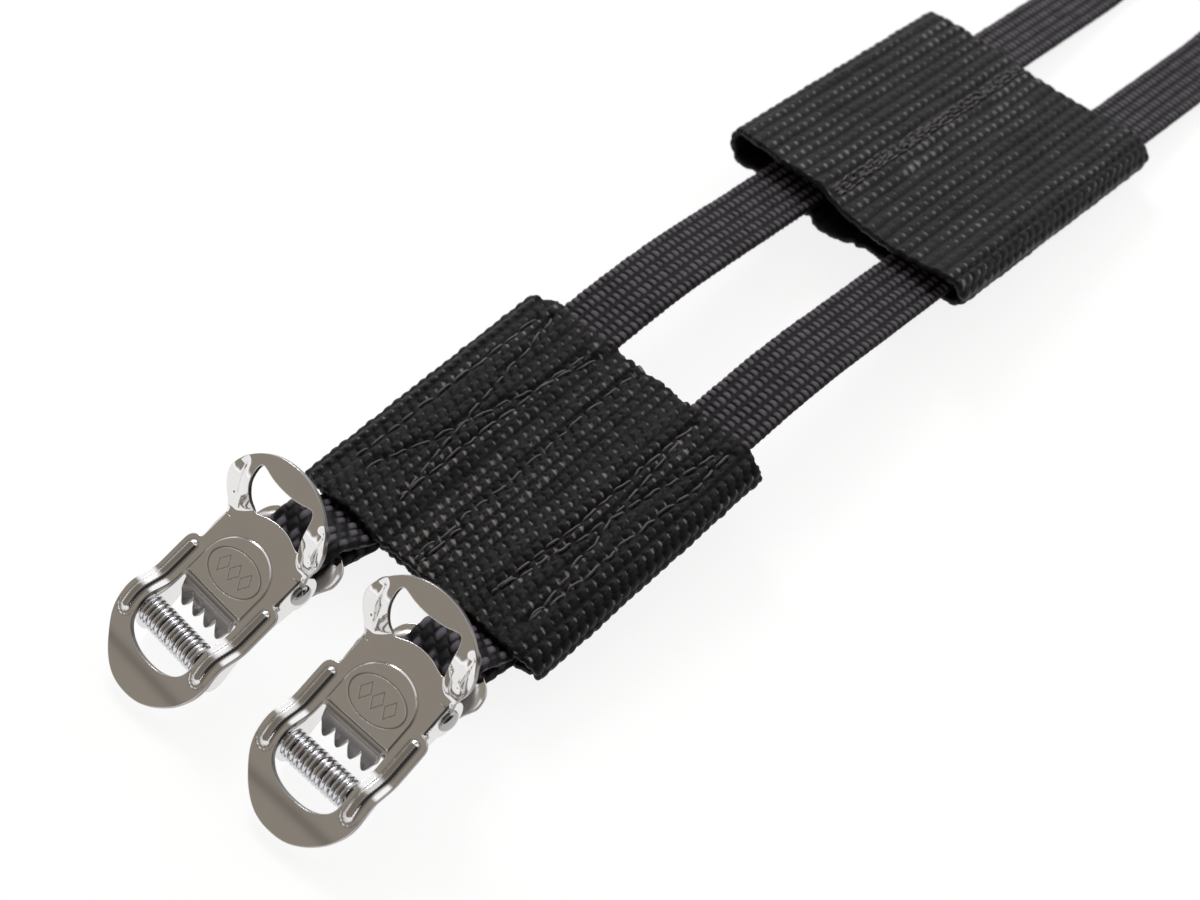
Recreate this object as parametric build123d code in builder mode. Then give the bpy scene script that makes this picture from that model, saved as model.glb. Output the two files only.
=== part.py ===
from build123d import *
import math
import os

# Pair of nylon webbing straps, each with a sprung toothed clamp buckle, joined by
# two wide webbing sleeves. One sleeve is sewn through both straps right behind the
# buckles, the other is an open tube that slides along the straps.
#
# Frame: X across the two straps, +Y from the buckles towards the free strap ends,
# +Z up, Z = 0 is the flat face the object lies on. While drawing, X = 0, Y = 0 is the
# centre of the sewn sleeve's edge that faces the buckles; finish() moves every piece
# so that the origin is under the middle of the whole assembly.
# The straps lie in a low arch: the buckles and the free ends touch the ground. Most
# pieces are drawn level with the sewn sleeve, then tilted by LAY_ANGLE about X and
# lifted by LAY_LIFT.

# ---- driving dimensions (mm, degrees) -----------------------------------------
FOOT_MIDDLE = (-1.825, 173.0073)  # middle of the assembly in the drawing frame
LAY_ANGLE = 5.0            # the sewn sleeve rises this much away from the buckles
LAY_LIFT = 5.54            # height of the sewn sleeve's middle plane at its near edge

STRAP_W = 12.0             # strap width
STRAP_T = 1.8              # strap thickness
STRAP_X = (-13.9, 14.3)    # centres of the left and right strap
STRAP_LEN = 400.0          # from the fold round the buckle to the tip
STRAP_GAP = 0.06           # left where a strap lies against something
TIP_Y = STRAP_LEN - 13.0   # where the free ends stop

FRONT_W = 50.0             # sewn sleeve, across the straps
FRONT_L = 49.3             # sewn sleeve, along the straps
FRONT_T = 6.4              # sewn sleeve, overall thickness over the straps

REAR_W = 52.5              # sliding sleeve, across the straps
REAR_L = 57.5              # sliding sleeve, along the straps
REAR_T = 7.3               # sliding sleeve, overall thickness
REAR_SKIN = 1.35           # sliding sleeve, webbing thickness
REAR_X = -2.4              # sliding sleeve sits off centre in its side play
REAR_Y = 101.5             # near edge of the sliding sleeve at rest

STITCH_H = 0.25            # height of a stitch row above the webbing
STITCH_W = 0.7             # width of a stitch row

FLEX_Y = 72.0              # where the straps bend between the two sleeves
FLEX_Z = -1.0
REAR_SLOPE = -0.168        # slope of the straps behind the bend
JOINT_SETBACK = 1.2        # from a bend to the centre of a strap piece's round end
HINGE_Y = -1.0             # where the straps bend between buckle and sewn sleeve
HINGE_GAP = 0.45           # from that bend to the end of the buckle's strap loop

# buckle, drawn about its pivot rivet: x across, y towards the sleeve, z up
RIVET_AT = ((-14.8, -15.3, 5.9), (14.5, -14.96, 5.9))
YAW = (-2.2, 1.07)
BASE_PITCH = 5.0           # base frame, against the sewn sleeve
LEVER_PITCH = 12.1         # lever plate, against the base frame
LEVER_SHEET = 0.85         # sheet thickness of the lever
BASE_SHEET = 0.8           # sheet thickness of the base frame
LEVER_V = 8.15             # rivet axis in the lever plate's own frame: along it,
LEVER_N = -2.92            # and up from its top face

WALL_OUT = 7.55            # outer half width of the base frame's side walls
EAR_OUT = 8.5              # outer half width of the lever's ears
RIVET_R = 1.0
FIT = 0.02                 # how far pins stand out of the sheet before their heads
HOLE_PLAY = 0.01           # radial play of pins in the base frame
ROLLER_Y, ROLLER_Z = -16.08, -1.585
AXLE_R = 1.03
PLATE_TOP = -3.15          # base frame's bottom plate
PLATE_BOTTOM = PLATE_TOP - BASE_SHEET
SLOT_Y0, SLOT_Y1, SLOT_HALF = 2.0, 4.65, 6.3  # strap slot in that plate

# ---- placing ------------------------------------------------------------------
SIDES = ("left", "right")
LAY = Location((0, 0, LAY_LIFT)) * Location((0, 0, 0), (LAY_ANGLE, 0, 0))
STRAP_AT = [Location((x, 0, 0)) for x in STRAP_X]
BASE_AT = [
    LAY * Location(rivet) * Location((0, 0, 0), (0, 0, yaw))
    * Location((0, 0, 0), (BASE_PITCH, 0, 0))
    for rivet, yaw in zip(RIVET_AT, YAW)
]
LEVER_AT = [base * Location((0, 0, 0), (LEVER_PITCH, 0, 0)) for base in BASE_AT]

# straps and sliding sleeve behind the bend
REAR_ANGLE = math.atan(REAR_SLOPE)
REAR_AT = (LAY * Location((0, FLEX_Y, FLEX_Z))
           * Location((0, 0, 0), (math.degrees(REAR_ANGLE), 0, 0)))
REAR_INNER_H = REAR_T - 2 * REAR_SKIN
# the straps lie on the lower inside face of the sliding sleeve
REAR_SLEEVE_AT = REAR_AT * Location((
    REAR_X,
    (REAR_Y - FLEX_Y) / math.cos(REAR_ANGLE),
    REAR_INNER_H / 2 - STRAP_T / 2 - STRAP_GAP))

# the free ends flatten where the straps come down to the ground
LAY_SIN = math.sin(math.radians(LAY_ANGLE))
LAY_COS = math.cos(math.radians(LAY_ANGLE))
LANDING_Y = ((STRAP_T / 2 - LAY_LIFT - (FLEX_Z - REAR_SLOPE * FLEX_Y) * LAY_COS)
             / (LAY_SIN + REAR_SLOPE * LAY_COS))   # level with the sewn sleeve
LANDING_Z = FLEX_Z + REAR_SLOPE * (LANDING_Y - FLEX_Y)
TAIL_START = (LAY * Location((0, LANDING_Y, LANDING_Z))).position
TAIL_LEN = TIP_Y - TAIL_START.Y


def finish(core, location, label):
    """Put a finished piece where it belongs and write it."""
    with BuildPart() as piece:
        with Locations(Location((-FOOT_MIDDLE[0], -FOOT_MIDDLE[1], 0)) * location):
            add(core)
    piece.part.label = label
    export_step(piece.part, f"parts/{label}.step")


def finish_pair(core, locations, label):
    """Write a piece once for each strap."""
    for side, location in zip(SIDES, locations):
        finish(core, location, f"{side}_{label}")


def mirrored(points):
    """Whole outline from its +X half; points on the middle line are not doubled."""
    return points + [(-x, y) for x, y in reversed(points) if x > 0]


def band(points, thickness):
    """Closed outline of a strip of even thickness along a side-view line."""
    above, below = [], []
    last = len(points) - 1
    for k, (x, y) in enumerate(points):
        prev_x, prev_y = points[max(k - 1, 0)]
        next_x, next_y = points[min(k + 1, last)]
        ahead = math.atan2(next_y - y, next_x - x) if k < last else None
        back = math.atan2(y - prev_y, x - prev_x) if k else ahead
        if ahead is None:
            ahead = back
        turn = (ahead - back + math.pi) % (2 * math.pi) - math.pi
        reach = thickness / 2 / math.cos(turn / 2)
        normal = back + turn / 2 + math.pi / 2
        dx, dy = reach * math.cos(normal), reach * math.sin(normal)
        above.append((x + dx, y + dy))
        below.append((x - dx, y - dy))
    return above + below[::-1]


# ---- sewn sleeve --------------------------------------------------------------
def make_front_sleeve():
    with BuildPart() as sleeve:
        with BuildSketch(Plane.XZ):
            SlotOverall(FRONT_W, FRONT_T)
            with Locations(*[(x, 0) for x in STRAP_X]):
                Rectangle(STRAP_W + 0.2, 2 * STRAP_T + STRAP_GAP, mode=Mode.SUBTRACT)
        extrude(amount=-FRONT_L)
    return sleeve.part


# stitch rows as (x, y) end points: box and cross over the left strap, one row
# between the straps, box and cross over the right strap
SEW_PATHS = [
    [((-19.8, 45.0), (-20.4, 7.0)), ((-9.4, 45.0), (-10.4, 7.0)),
     ((-18.1, 46.7), (-10.0, 6.3)), ((-7.1, 45.8), (-17.7, 6.3))],
    [((-1.0, 47.5), (-1.0, 1.0))],
    [((12.3, 46.5), (11.5, 4.5)), ((20.1, 46.5), (18.5, 4.5)),
     ((12.5, 43.0), (18.5, 5.0)), ((18.2, 45.0), (11.3, 4.6))],
]


def make_front_stitching():
    """Stitch rows on both faces of the sewn sleeve."""
    with BuildPart() as stitching:
        for start_z in (FRONT_T / 2, -FRONT_T / 2 - STITCH_H):
            for group in SEW_PATHS:
                with BuildSketch(Plane.XY.offset(start_z)):
                    for (xa, ya), (xb, yb) in group:
                        length = math.hypot(xb - xa, yb - ya)
                        angle = math.degrees(math.atan2(yb - ya, xb - xa))
                        middle = ((xa + xb) / 2, (ya + yb) / 2, 0)
                        with Locations(Location(middle, (0, 0, angle))):
                            Rectangle(length, STITCH_W)
                extrude(amount=STITCH_H)
    return stitching.part


# ---- straps -------------------------------------------------------------------
# side view of the front part: y, middle height, half thickness;
# doubled inside the sewn sleeve, single from near its far edge to the bend
STRAP_FRONT_STATIONS = [
    (-0.25, 0.0, STRAP_T),
    (38.0, 0.0, STRAP_T),
    (46.0, 0.0, STRAP_T / 2),
    (60.0, -0.1, STRAP_T / 2),
    (FLEX_Y - JOINT_SETBACK, FLEX_Z + 0.1, STRAP_T / 2),
]


def make_strap_front():
    upper = [(y, z + half) for y, z, half in STRAP_FRONT_STATIONS]
    lower = [(y, z - half) for y, z, half in STRAP_FRONT_STATIONS]
    with BuildPart() as strap:
        with BuildSketch(Plane.YZ):
            with BuildLine():
                Polyline(*upper, *reversed(lower), close=True)
            make_face()
            with Locations(STRAP_FRONT_STATIONS[-1][:2]):
                Circle(STRAP_T / 2)
        extrude(amount=STRAP_W / 2, both=True)
    return strap.part


def make_strap_rear():
    """Straight part from the bend to where the free end flattens."""
    length = (LANDING_Y - FLEX_Y) / math.cos(REAR_ANGLE)
    with BuildPart() as strap:
        with BuildSketch(Plane.YZ):
            with Locations((length / 2, 0)):
                SlotOverall(length - 2 * (JOINT_SETBACK - STRAP_T / 2), STRAP_T)
        extrude(amount=STRAP_W / 2, both=True)
    return strap.part


def make_strap_tail():
    """Free end: flat on the ground and cut to a blunt point."""
    # half of the plan that trims the tip, left oversize beside and before the strap
    trim = [
        (STRAP_W, -5),
        (STRAP_W, TAIL_LEN - 6),
        (STRAP_W / 2, TAIL_LEN - 6),
        (3.4, TAIL_LEN - 1.2),
        (1.6, TAIL_LEN),
    ]
    with BuildPart() as strap:
        with BuildSketch(Plane.YZ):
            with BuildLine():
                Polyline((JOINT_SETBACK, STRAP_T / 2), (TAIL_LEN, STRAP_T / 2),
                         (TAIL_LEN, -STRAP_T / 2), (JOINT_SETBACK, -STRAP_T / 2), close=True)
            make_face()
            with Locations((JOINT_SETBACK, 0)):
                Circle(STRAP_T / 2)
        extrude(amount=STRAP_W / 2, both=True)
        with BuildSketch(Plane.XY.offset(-5)):
            with BuildLine():
                Polyline(*mirrored(trim), close=True)
            make_face()
        extrude(amount=10, mode=Mode.INTERSECT)
    return strap.part


def make_strap_loop(rivet):
    """Strap over the base frame's rear plate, down the slot and back underneath."""
    pitch = math.radians(BASE_PITCH)

    def to_base(y, z):
        """Sleeve-level side-view point to the base frame's side view."""
        dy, dz = y - rivet[1], z - rivet[2]
        return (dy * math.cos(pitch) + dz * math.sin(pitch),
                -dy * math.sin(pitch) + dz * math.cos(pitch))

    end_y = HINGE_Y - HINGE_GAP
    end_z = STRAP_T / 2 + STRAP_GAP / 2
    top_end = to_base(end_y, end_z)
    low_end = to_base(end_y, -end_z)
    top_z = PLATE_TOP + STRAP_GAP + STRAP_T / 2
    low_z = PLATE_BOTTOM - STRAP_GAP - STRAP_T / 2
    fold_r = (top_z - low_z) / 2
    fold_y, fold_z = SLOT_Y1 - 0.05, (top_z + low_z) / 2
    upper = [top_end, (top_end[0] - 1.06, top_end[1] + 0.21), (9.7, top_z), (fold_y, top_z)]
    fold = [(fold_y - fold_r * math.sin(math.radians(angle)),
             fold_z + fold_r * math.cos(math.radians(angle)))
            for angle in range(15, 180, 15)]
    lower = [(fold_y, low_z), (7.0, low_z), (low_end[0] - 3.0, low_end[1] + 0.41), low_end]
    with BuildPart() as loop:
        with BuildSketch(Plane.YZ):
            with BuildLine():
                Polyline(*band(upper + fold + lower, STRAP_T), close=True)
            make_face()
        extrude(amount=STRAP_W / 2, both=True)
    return loop.part


# ---- sliding sleeve -----------------------------------------------------------
def make_rear_sleeve():
    with BuildPart() as sleeve:
        with BuildSketch(Plane.XZ):
            SlotOverall(REAR_W, REAR_T)
            SlotOverall(REAR_W - 2 * REAR_SKIN, REAR_INNER_H, mode=Mode.SUBTRACT)
        extrude(amount=-REAR_L)
    return sleeve.part


def make_rear_stitching():
    """Two stitch rows along the top of the sliding sleeve."""
    with BuildPart() as stitching:
        with BuildSketch(Plane.XY.offset(REAR_T / 2)):
            with Locations((-4.0, REAR_L / 2), (-2.6, REAR_L / 2)):
                Rectangle(STITCH_W, REAR_L - 1.0)
        extrude(amount=STITCH_H)
    return stitching.part


# ---- buckle base frame --------------------------------------------------------
DISC_Y, DISC_A, DISC_B = 5.2, 8.65, 4.0   # rounded rear end: centre, half axes
BOSS_R = 1.9                              # wall round the rivet
ROLLER_BOSS_R = 1.6                       # wall round the roller axle

# +X half of the bottom plate before the rounded rear end is added: x, y
PLATE_HALF = [(WALL_OUT, -9.0), (WALL_OUT, 1.2), (DISC_A - 0.15, DISC_Y - 0.9)]

# side wall outline: y, z
WALL_OUTLINE = [
    (BOSS_R, PLATE_BOTTOM), (BOSS_R, 0), (-1.2, 1.45), (-7.6, -0.35), (-10.6, -1.3),
    (-13.6, -1.35), (ROLLER_Y, ROLLER_Z + 1.58), (-17.9, -1.6), (-18.6, -4.0),
    (-17.9, -5.9), (-16.4, -6.98), (-14.9, -6.6), (-12.6, -5.2), (-9.5, -4.1),
    (-8.0, PLATE_BOTTOM),
]


def make_buckle_base():
    with BuildPart() as base:
        # bottom plate with its wide rounded rear end and the slot for the strap
        with BuildSketch(Plane.XY.offset(PLATE_BOTTOM)):
            with BuildLine():
                Polyline(*mirrored(PLATE_HALF), close=True)
            make_face()
            with Locations((0, DISC_Y)):
                Ellipse(DISC_A, DISC_B)
            with Locations((0, (SLOT_Y0 + SLOT_Y1) / 2)):
                Rectangle(2 * SLOT_HALF, SLOT_Y1 - SLOT_Y0, mode=Mode.SUBTRACT)
        extrude(amount=BASE_SHEET)
        # two side walls that reach forward (-Y) and carry the roller axle
        for wall_x in (-WALL_OUT + BASE_SHEET, WALL_OUT):
            with BuildSketch(Plane.YZ.offset(wall_x)):
                with BuildLine():
                    Polyline(*WALL_OUTLINE, close=True)
                make_face()
                Circle(BOSS_R)
                with Locations((ROLLER_Y, ROLLER_Z)):
                    Circle(ROLLER_BOSS_R)
                    Circle(AXLE_R + HOLE_PLAY, mode=Mode.SUBTRACT)
                Circle(RIVET_R + HOLE_PLAY, mode=Mode.SUBTRACT)
            extrude(amount=-BASE_SHEET)
    return base.part


# ---- roller: wire coil on an axle pin -----------------------------------------
AXLE_HEAD_R, AXLE_HEAD_H = AXLE_R + 0.35, 0.55
COIL_R = 1.6               # mean radius of the coil
COIL_WIRE = 0.5            # wire radius
COIL_PITCH = 1.2
COIL_LEN = 11.2


def make_roller_axle():
    pin_end = WALL_OUT + FIT
    with BuildPart() as axle:
        for start_x, radius, length in (
            (-pin_end, AXLE_R, 2 * pin_end),
            (pin_end, AXLE_HEAD_R, AXLE_HEAD_H),
            (-pin_end - AXLE_HEAD_H, AXLE_HEAD_R, AXLE_HEAD_H),
        ):
            with BuildSketch(Plane.YZ.offset(start_x)):
                with Locations((ROLLER_Y, ROLLER_Z)):
                    Circle(radius)
            extrude(amount=length)
    return axle.part


def make_roller_coil():
    with BuildPart() as coil:
        with BuildLine():
            Helix(pitch=COIL_PITCH, height=COIL_LEN, radius=COIL_R,
                  center=(-COIL_LEN / 2, ROLLER_Y, ROLLER_Z), direction=(1, 0, 0))
        start = coil.pending_edges[0] @ 0
        tangent = coil.pending_edges[0] % 0
        with BuildSketch(Plane(origin=start, z_dir=tangent)):
            Circle(COIL_WIRE)
        sweep(is_frenet=True)
    return coil.part


# ---- pivot rivet --------------------------------------------------------------
HEAD_R, HEAD_H, HEAD_FILLET = 1.5, 0.9, 0.65


def make_pivot_rivet():
    pin_end = EAR_OUT + FIT
    with BuildPart() as rivet:
        for start_x, radius, length in (
            (-pin_end, RIVET_R, 2 * pin_end),
            (pin_end, HEAD_R, HEAD_H),
            (-pin_end - HEAD_H, HEAD_R, HEAD_H),
        ):
            with BuildSketch(Plane.YZ.offset(start_x)):
                Circle(radius)
            extrude(amount=length)
        rims = rivet.edges().filter_by(GeomType.CIRCLE).group_by(Axis.X)
        fillet(rims[0] + rims[-1], radius=HEAD_FILLET)
    return rivet.part


# ---- lever spring: torsion coil round the rivet -------------------------------
SPRING_R = 1.72            # mean radius of the coil
SPRING_WIRE = 0.28         # wire radius
SPRING_PITCH = 0.66
SPRING_TURNS = 4.25
SPRING_X = -6.1            # where the coil starts
SPRING_LEGS = ((0, 0.45), (-1, 2.35))   # end face in order of X, leg length


def make_lever_spring():
    with BuildPart() as spring:
        with BuildLine():
            Helix(pitch=SPRING_PITCH, height=SPRING_PITCH * SPRING_TURNS, radius=SPRING_R,
                  center=(SPRING_X, 0, 0), direction=(1, 0, 0))
        start = spring.pending_edges[0] @ 0
        tangent = spring.pending_edges[0] % 0
        with BuildSketch(Plane(origin=start, z_dir=tangent)):
            Circle(SPRING_WIRE)
        sweep(is_frenet=True)
        # a short straight leg on each end of the wire
        for end, length in SPRING_LEGS:
            ends = spring.faces().filter_by(GeomType.PLANE).sort_by(Axis.X)
            extrude(to_extrude=ends[end], amount=length)
    return spring.part


# ---- lever: one stamped sheet -------------------------------------------------
# Tables are in the plate's frame: v along it, n up from its top face.
# side view of the bent sheet: v, n; from the thumb tab (+Y) to the lip (-Y)
LEVER_BENDS = [(20.1, 7.6), (14.2, 4.75), (10.6, 0.0), (-3.5, 0.0), (-7.2, 1.8),
               (-14.6, -0.6), (-18.4, -1.2)]
BEND_R = 1.2
# side view of the toothed tongue: v, n
TONGUE_BENDS = [(-0.4, 0.0), (-1.2, -0.1), (-4.5, -2.6)]
TONGUE_HALF = 5.2
# side view of an ear, without its round end: v, n
EAR_OUTLINE = [(10.0, -0.1), (4.5, -0.1), (4.6, -2.0), (6.4, -5.2), (10.8, -4.2)]
EAR_R = 2.9

# +X halves of the outlines seen square to the plate: x, v
LEVER_HALF = [
    (0.0, 20.3), (3.5, 19.7), (6.4, 18.5), (8.9, 16.6), (10.2, 14.4), (10.25, 13.0),
    (9.9, 11.9), (8.5, 10.2), (8.45, 9.2), (8.3, 7.5), (8.5, 4.4), (9.2, 3.5), (9.9, 3.0),
    (9.95, -3.5), (10.05, -8.0), (10.0, -10.3), (9.4, -12.3), (7.7, -14.8),
    (5.2, -16.9), (2.8, -18.0), (0.0, -18.4),
]
# opening for the strap, behind the lip
WINDOW_HALF = [(6.3, -0.9), (6.35, -4.0), (6.5, -9.6), (5.9, -11.3), (3.4, -12.9),
               (0.0, -13.4)]
# D-shaped cut-out of the thumb tab
THUMB_HOLE_HALF = [
    (0.0, 16.9), (3.0, 17.1), (5.2, 17.5), (5.9, 17.0), (6.2, 15.4), (6.1, 13.4),
    (5.2, 12.1), (3.8, 12.0), (2.0, 12.7), (0.0, 12.95),
]
# V notches between the teeth
NOTCH_PITCH, NOTCH_HALF = 2.56, 1.0
NOTCH_MOUTH_V, NOTCH_ROOT_V = -6.0, -2.9


def side_points(points, depth=0.0):
    """Side-view (v, n) points, lowered by depth, as seen from the rivet axis."""
    return [(v - LEVER_V, n - LEVER_N - depth) for v, n in points]


def plan_points(points):
    """Whole plan outline from its +X half, as seen from the rivet axis."""
    return mirrored([(x, v - LEVER_V) for x, v in points])


def make_buckle_lever():
    half_sheet = LEVER_SHEET / 2
    with BuildPart() as lever:
        # bent sheet, wider than needed, then trimmed to its plan outline
        with BuildSketch(Plane.YZ):
            with BuildLine():
                FilletPolyline(*side_points(LEVER_BENDS, half_sheet), radius=BEND_R)
            trace(line_width=LEVER_SHEET)
        extrude(amount=11, both=True)
        with BuildSketch(Plane.XY.offset(-10)):
            with BuildLine():
                Polyline(*plan_points(LEVER_HALF), close=True)
            make_face()
            for opening in (WINDOW_HALF, THUMB_HOLE_HALF):
                with BuildLine():
                    Polyline(*plan_points(opening), close=True)
                make_face(mode=Mode.SUBTRACT)
        extrude(amount=40, mode=Mode.INTERSECT)
        # toothed tongue bent down towards the roller
        with BuildSketch(Plane.YZ):
            with BuildLine():
                Polyline(*side_points(TONGUE_BENDS, half_sheet))
            trace(line_width=LEVER_SHEET)
        extrude(amount=TONGUE_HALF, both=True)
        with BuildSketch(Plane.XY.offset(-10)):
            for k in (-2, -1, 0, 1, 2):
                x = k * NOTCH_PITCH
                with BuildLine():
                    Polyline((x - NOTCH_HALF, NOTCH_MOUTH_V - LEVER_V),
                             (x, NOTCH_ROOT_V - LEVER_V),
                             (x + NOTCH_HALF, NOTCH_MOUTH_V - LEVER_V), close=True)
                make_face()
        extrude(amount=16, mode=Mode.SUBTRACT)
        # ears folded down either side for the rivet
        for ear_x in (-EAR_OUT + LEVER_SHEET, EAR_OUT):
            with BuildSketch(Plane.YZ.offset(ear_x)):
                with BuildLine():
                    Polyline(*side_points(EAR_OUTLINE), close=True)
                make_face()
                Circle(EAR_R)
                Circle(RIVET_R + 0.05, mode=Mode.SUBTRACT)
            extrude(amount=-LEVER_SHEET)
    return lever.part


# ---- write every piece --------------------------------------------------------
os.makedirs("parts", exist_ok=True)

finish(make_front_sleeve(), LAY, "front_sleeve")
finish(make_front_stitching(), LAY, "front_sleeve_stitching")
finish(make_rear_sleeve(), REAR_SLEEVE_AT, "rear_sleeve")
finish(make_rear_stitching(), REAR_SLEEVE_AT, "rear_sleeve_stitching")

TAIL_AT = Location((0, TAIL_START.Y, TAIL_START.Z))
finish_pair(make_strap_front(), [LAY * strap for strap in STRAP_AT], "strap_front")
finish_pair(make_strap_rear(), [REAR_AT * strap for strap in STRAP_AT], "strap_rear")
finish_pair(make_strap_tail(), [TAIL_AT * strap for strap in STRAP_AT], "strap_tail")
for side, rivet_at, base_at in zip(SIDES, RIVET_AT, BASE_AT):
    finish(make_strap_loop(rivet_at), base_at, f"{side}_strap_loop")

finish_pair(make_buckle_base(), BASE_AT, "buckle_base")
finish_pair(make_roller_axle(), BASE_AT, "roller_axle")
finish_pair(make_roller_coil(), BASE_AT, "roller_coil")
finish_pair(make_pivot_rivet(), BASE_AT, "pivot_rivet")
finish_pair(make_lever_spring(), LEVER_AT, "lever_spring")
finish_pair(make_buckle_lever(), LEVER_AT, "buckle_lever")
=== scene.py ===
"""Two webbing straps side by side along Y, each with a toothed lever buckle at the front (-Y).

Each strap folds round its buckle's rear plate into a sewn sleeve, bends down through a sliding
sleeve and ends in a tail on the ground at the back (+Y). Left is -X, up is +Z.
Shapes are worked out in millimetres and scaled to metres when a mesh is made.
"""
import bpy
import math
import numpy as np
from mathutils import Matrix, Vector
from mathutils.geometry import delaunay_2d_cdt


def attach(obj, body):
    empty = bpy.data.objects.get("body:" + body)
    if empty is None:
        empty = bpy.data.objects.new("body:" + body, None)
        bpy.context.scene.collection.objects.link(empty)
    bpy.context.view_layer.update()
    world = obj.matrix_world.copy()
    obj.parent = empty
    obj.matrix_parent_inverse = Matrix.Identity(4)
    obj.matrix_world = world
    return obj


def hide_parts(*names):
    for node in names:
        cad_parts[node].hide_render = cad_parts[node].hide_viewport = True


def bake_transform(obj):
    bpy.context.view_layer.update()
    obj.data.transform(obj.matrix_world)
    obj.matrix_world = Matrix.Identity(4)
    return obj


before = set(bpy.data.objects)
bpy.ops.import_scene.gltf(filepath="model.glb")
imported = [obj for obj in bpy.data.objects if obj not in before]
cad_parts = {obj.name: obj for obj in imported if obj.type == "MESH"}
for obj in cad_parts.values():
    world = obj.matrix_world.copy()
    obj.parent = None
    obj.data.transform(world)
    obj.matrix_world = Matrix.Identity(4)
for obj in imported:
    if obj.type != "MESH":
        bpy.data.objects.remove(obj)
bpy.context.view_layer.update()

# --- Driving dimensions ------------------------------------------------------
MM = 0.001
SIDES = ("left", "right")
STRAP_X = (-13.9, 14.3)
STRAP_WIDTH = 12.0
STRAP_THICK = 1.66
LAYER_Z = 0.93  # a strap's centre above what it lies on
RIVETS = ((-14.8, -15.3, 5.9), (14.5, -14.96, 5.9))
BUCKLE_YAW = (-2.2, 1.07)
PIVOT_Y, PIVOT_Z = 8.15, -2.92  # rivet axis in the lever's frame
ROLLER_Y, ROLLER_Z = -16.08, -1.585  # roller axis in the buckle's frame
BEND_Y, BEND_Z = 72.0, -1.0  # where the straps bend down
SLOPE_DEG = math.degrees(math.atan(-0.168))
CUT_Y = 134.8  # where a strap's middle and end pieces meet
TAIL_BEND_Y, TAIL_BEND_Z = 196.8243, 0.9
TAIL_END_Y = 387.0
FOOT = np.array([1.825, -173.0073, 0.0])  # from the sewn sleeve's near edge to the origin


# --- Frames ------------------------------------------------------------------
class Place:
    """Rigid frame: local millimetres to the model's millimetres."""

    def __init__(self, turn, shift):
        self.turn = np.array(turn, float)
        self.shift = np.array(shift, float)

    def __matmul__(self, other):
        return Place(self.turn @ other.turn, self.turn @ other.shift + self.shift)

    def points(self, local):
        return np.asarray(local, float) @ self.turn.T + self.shift

    def point(self, x, y, z):
        return self.points([[x, y, z]])[0]

    def directions(self, local):
        return np.asarray(local, float) @ self.turn.T


def moved(x, y, z):
    return Place(np.eye(3), (x, y, z))


def turned_x(deg):
    c, s = math.cos(math.radians(deg)), math.sin(math.radians(deg))
    return Place([[1, 0, 0], [0, c, -s], [0, s, c]], (0, 0, 0))


def turned_z(deg):
    c, s = math.cos(math.radians(deg)), math.sin(math.radians(deg))
    return Place([[c, -s, 0], [s, c, 0], [0, 0, 1]], (0, 0, 0))


def slope_distance(y):
    """Distance down the slope behind the bend, from a level distance y."""
    return (y - BEND_Y) / math.cos(math.radians(SLOPE_DEG))


LAY = moved(*(FOOT + (0, 0, 5.54))) @ turned_x(5.0)
BASE = [LAY @ moved(*rivet) @ turned_z(yaw) @ turned_x(5.0)
        for rivet, yaw in zip(RIVETS, BUCKLE_YAW)]
LEVER = [base @ turned_x(12.1) @ moved(0, -PIVOT_Y, -PIVOT_Z) for base in BASE]
REAR = LAY @ moved(0, BEND_Y, BEND_Z) @ turned_x(SLOPE_DEG)


# --- Small maths -------------------------------------------------------------
def smoothstep(start, end, x):
    t = np.clip((np.asarray(x, float) - start) / (end - start), 0, 1)
    return t * t * (3 - 2 * t)


def smooth_max(a, b, blend):
    return 0.5 * (a + b + np.sqrt((a - b) ** 2 + blend * blend))


def smooth_min(a, b, blend):
    return 0.5 * (a + b - np.sqrt((a - b) ** 2 + blend * blend))


def bell(distance, width):
    return np.exp(-(distance / width) ** 2)


def unit(vectors):
    return vectors / np.linalg.norm(vectors, axis=-1, keepdims=True)


def gauss_kernel(reach, step, sigma):
    kernel = np.exp(-0.5 * (np.arange(-reach, reach + 1) * step / sigma) ** 2)
    return kernel / kernel.sum()


def profile(points, sigma, step=0.02):
    """Smooth curve through a bent line: x to y, with every bend rounded."""
    xs, ys = np.array(sorted(points), float).T
    x = np.arange(xs[0] - 4 * sigma - 2, xs[-1] + 4 * sigma + 2, step)
    y = np.interp(x, xs, ys)
    low, high = x < xs[0], x > xs[-1]
    y[low] = ys[0] + (x[low] - xs[0]) * (ys[1] - ys[0]) / (xs[1] - xs[0])
    y[high] = ys[-1] + (x[high] - xs[-1]) * (ys[-1] - ys[-2]) / (xs[-1] - xs[-2])
    reach = max(1, int(4 * sigma / step))
    y = np.convolve(np.pad(y, reach, mode="edge"), gauss_kernel(reach, step, sigma), mode="valid")
    return lambda at: np.interp(at, x, y)


class Noise:
    """Smooth value noise on a plane from a fixed seed, from -1 to 1."""

    def __init__(self, seed, size=64):
        self.grid = np.random.default_rng(seed).uniform(-1, 1, (size, size))
        self.size = size

    def __call__(self, x, y):
        x, y = np.asarray(x, float), np.asarray(y, float)
        x0, y0 = np.floor(x).astype(int), np.floor(y).astype(int)
        tx, ty = x - x0, y - y0
        tx, ty = tx * tx * (3 - 2 * tx), ty * ty * (3 - 2 * ty)
        grid, size = self.grid, self.size
        near_row = grid[x0 % size, y0 % size] * (1 - tx) + grid[(x0 + 1) % size, y0 % size] * tx
        far_y = (y0 + 1) % size
        far_row = grid[x0 % size, far_y] * (1 - tx) + grid[(x0 + 1) % size, far_y] * tx
        return near_row * (1 - ty) + far_row * ty


noise_a, noise_b, noise_c, noise_d = Noise(11), Noise(23), Noise(37), Noise(51)


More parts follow.
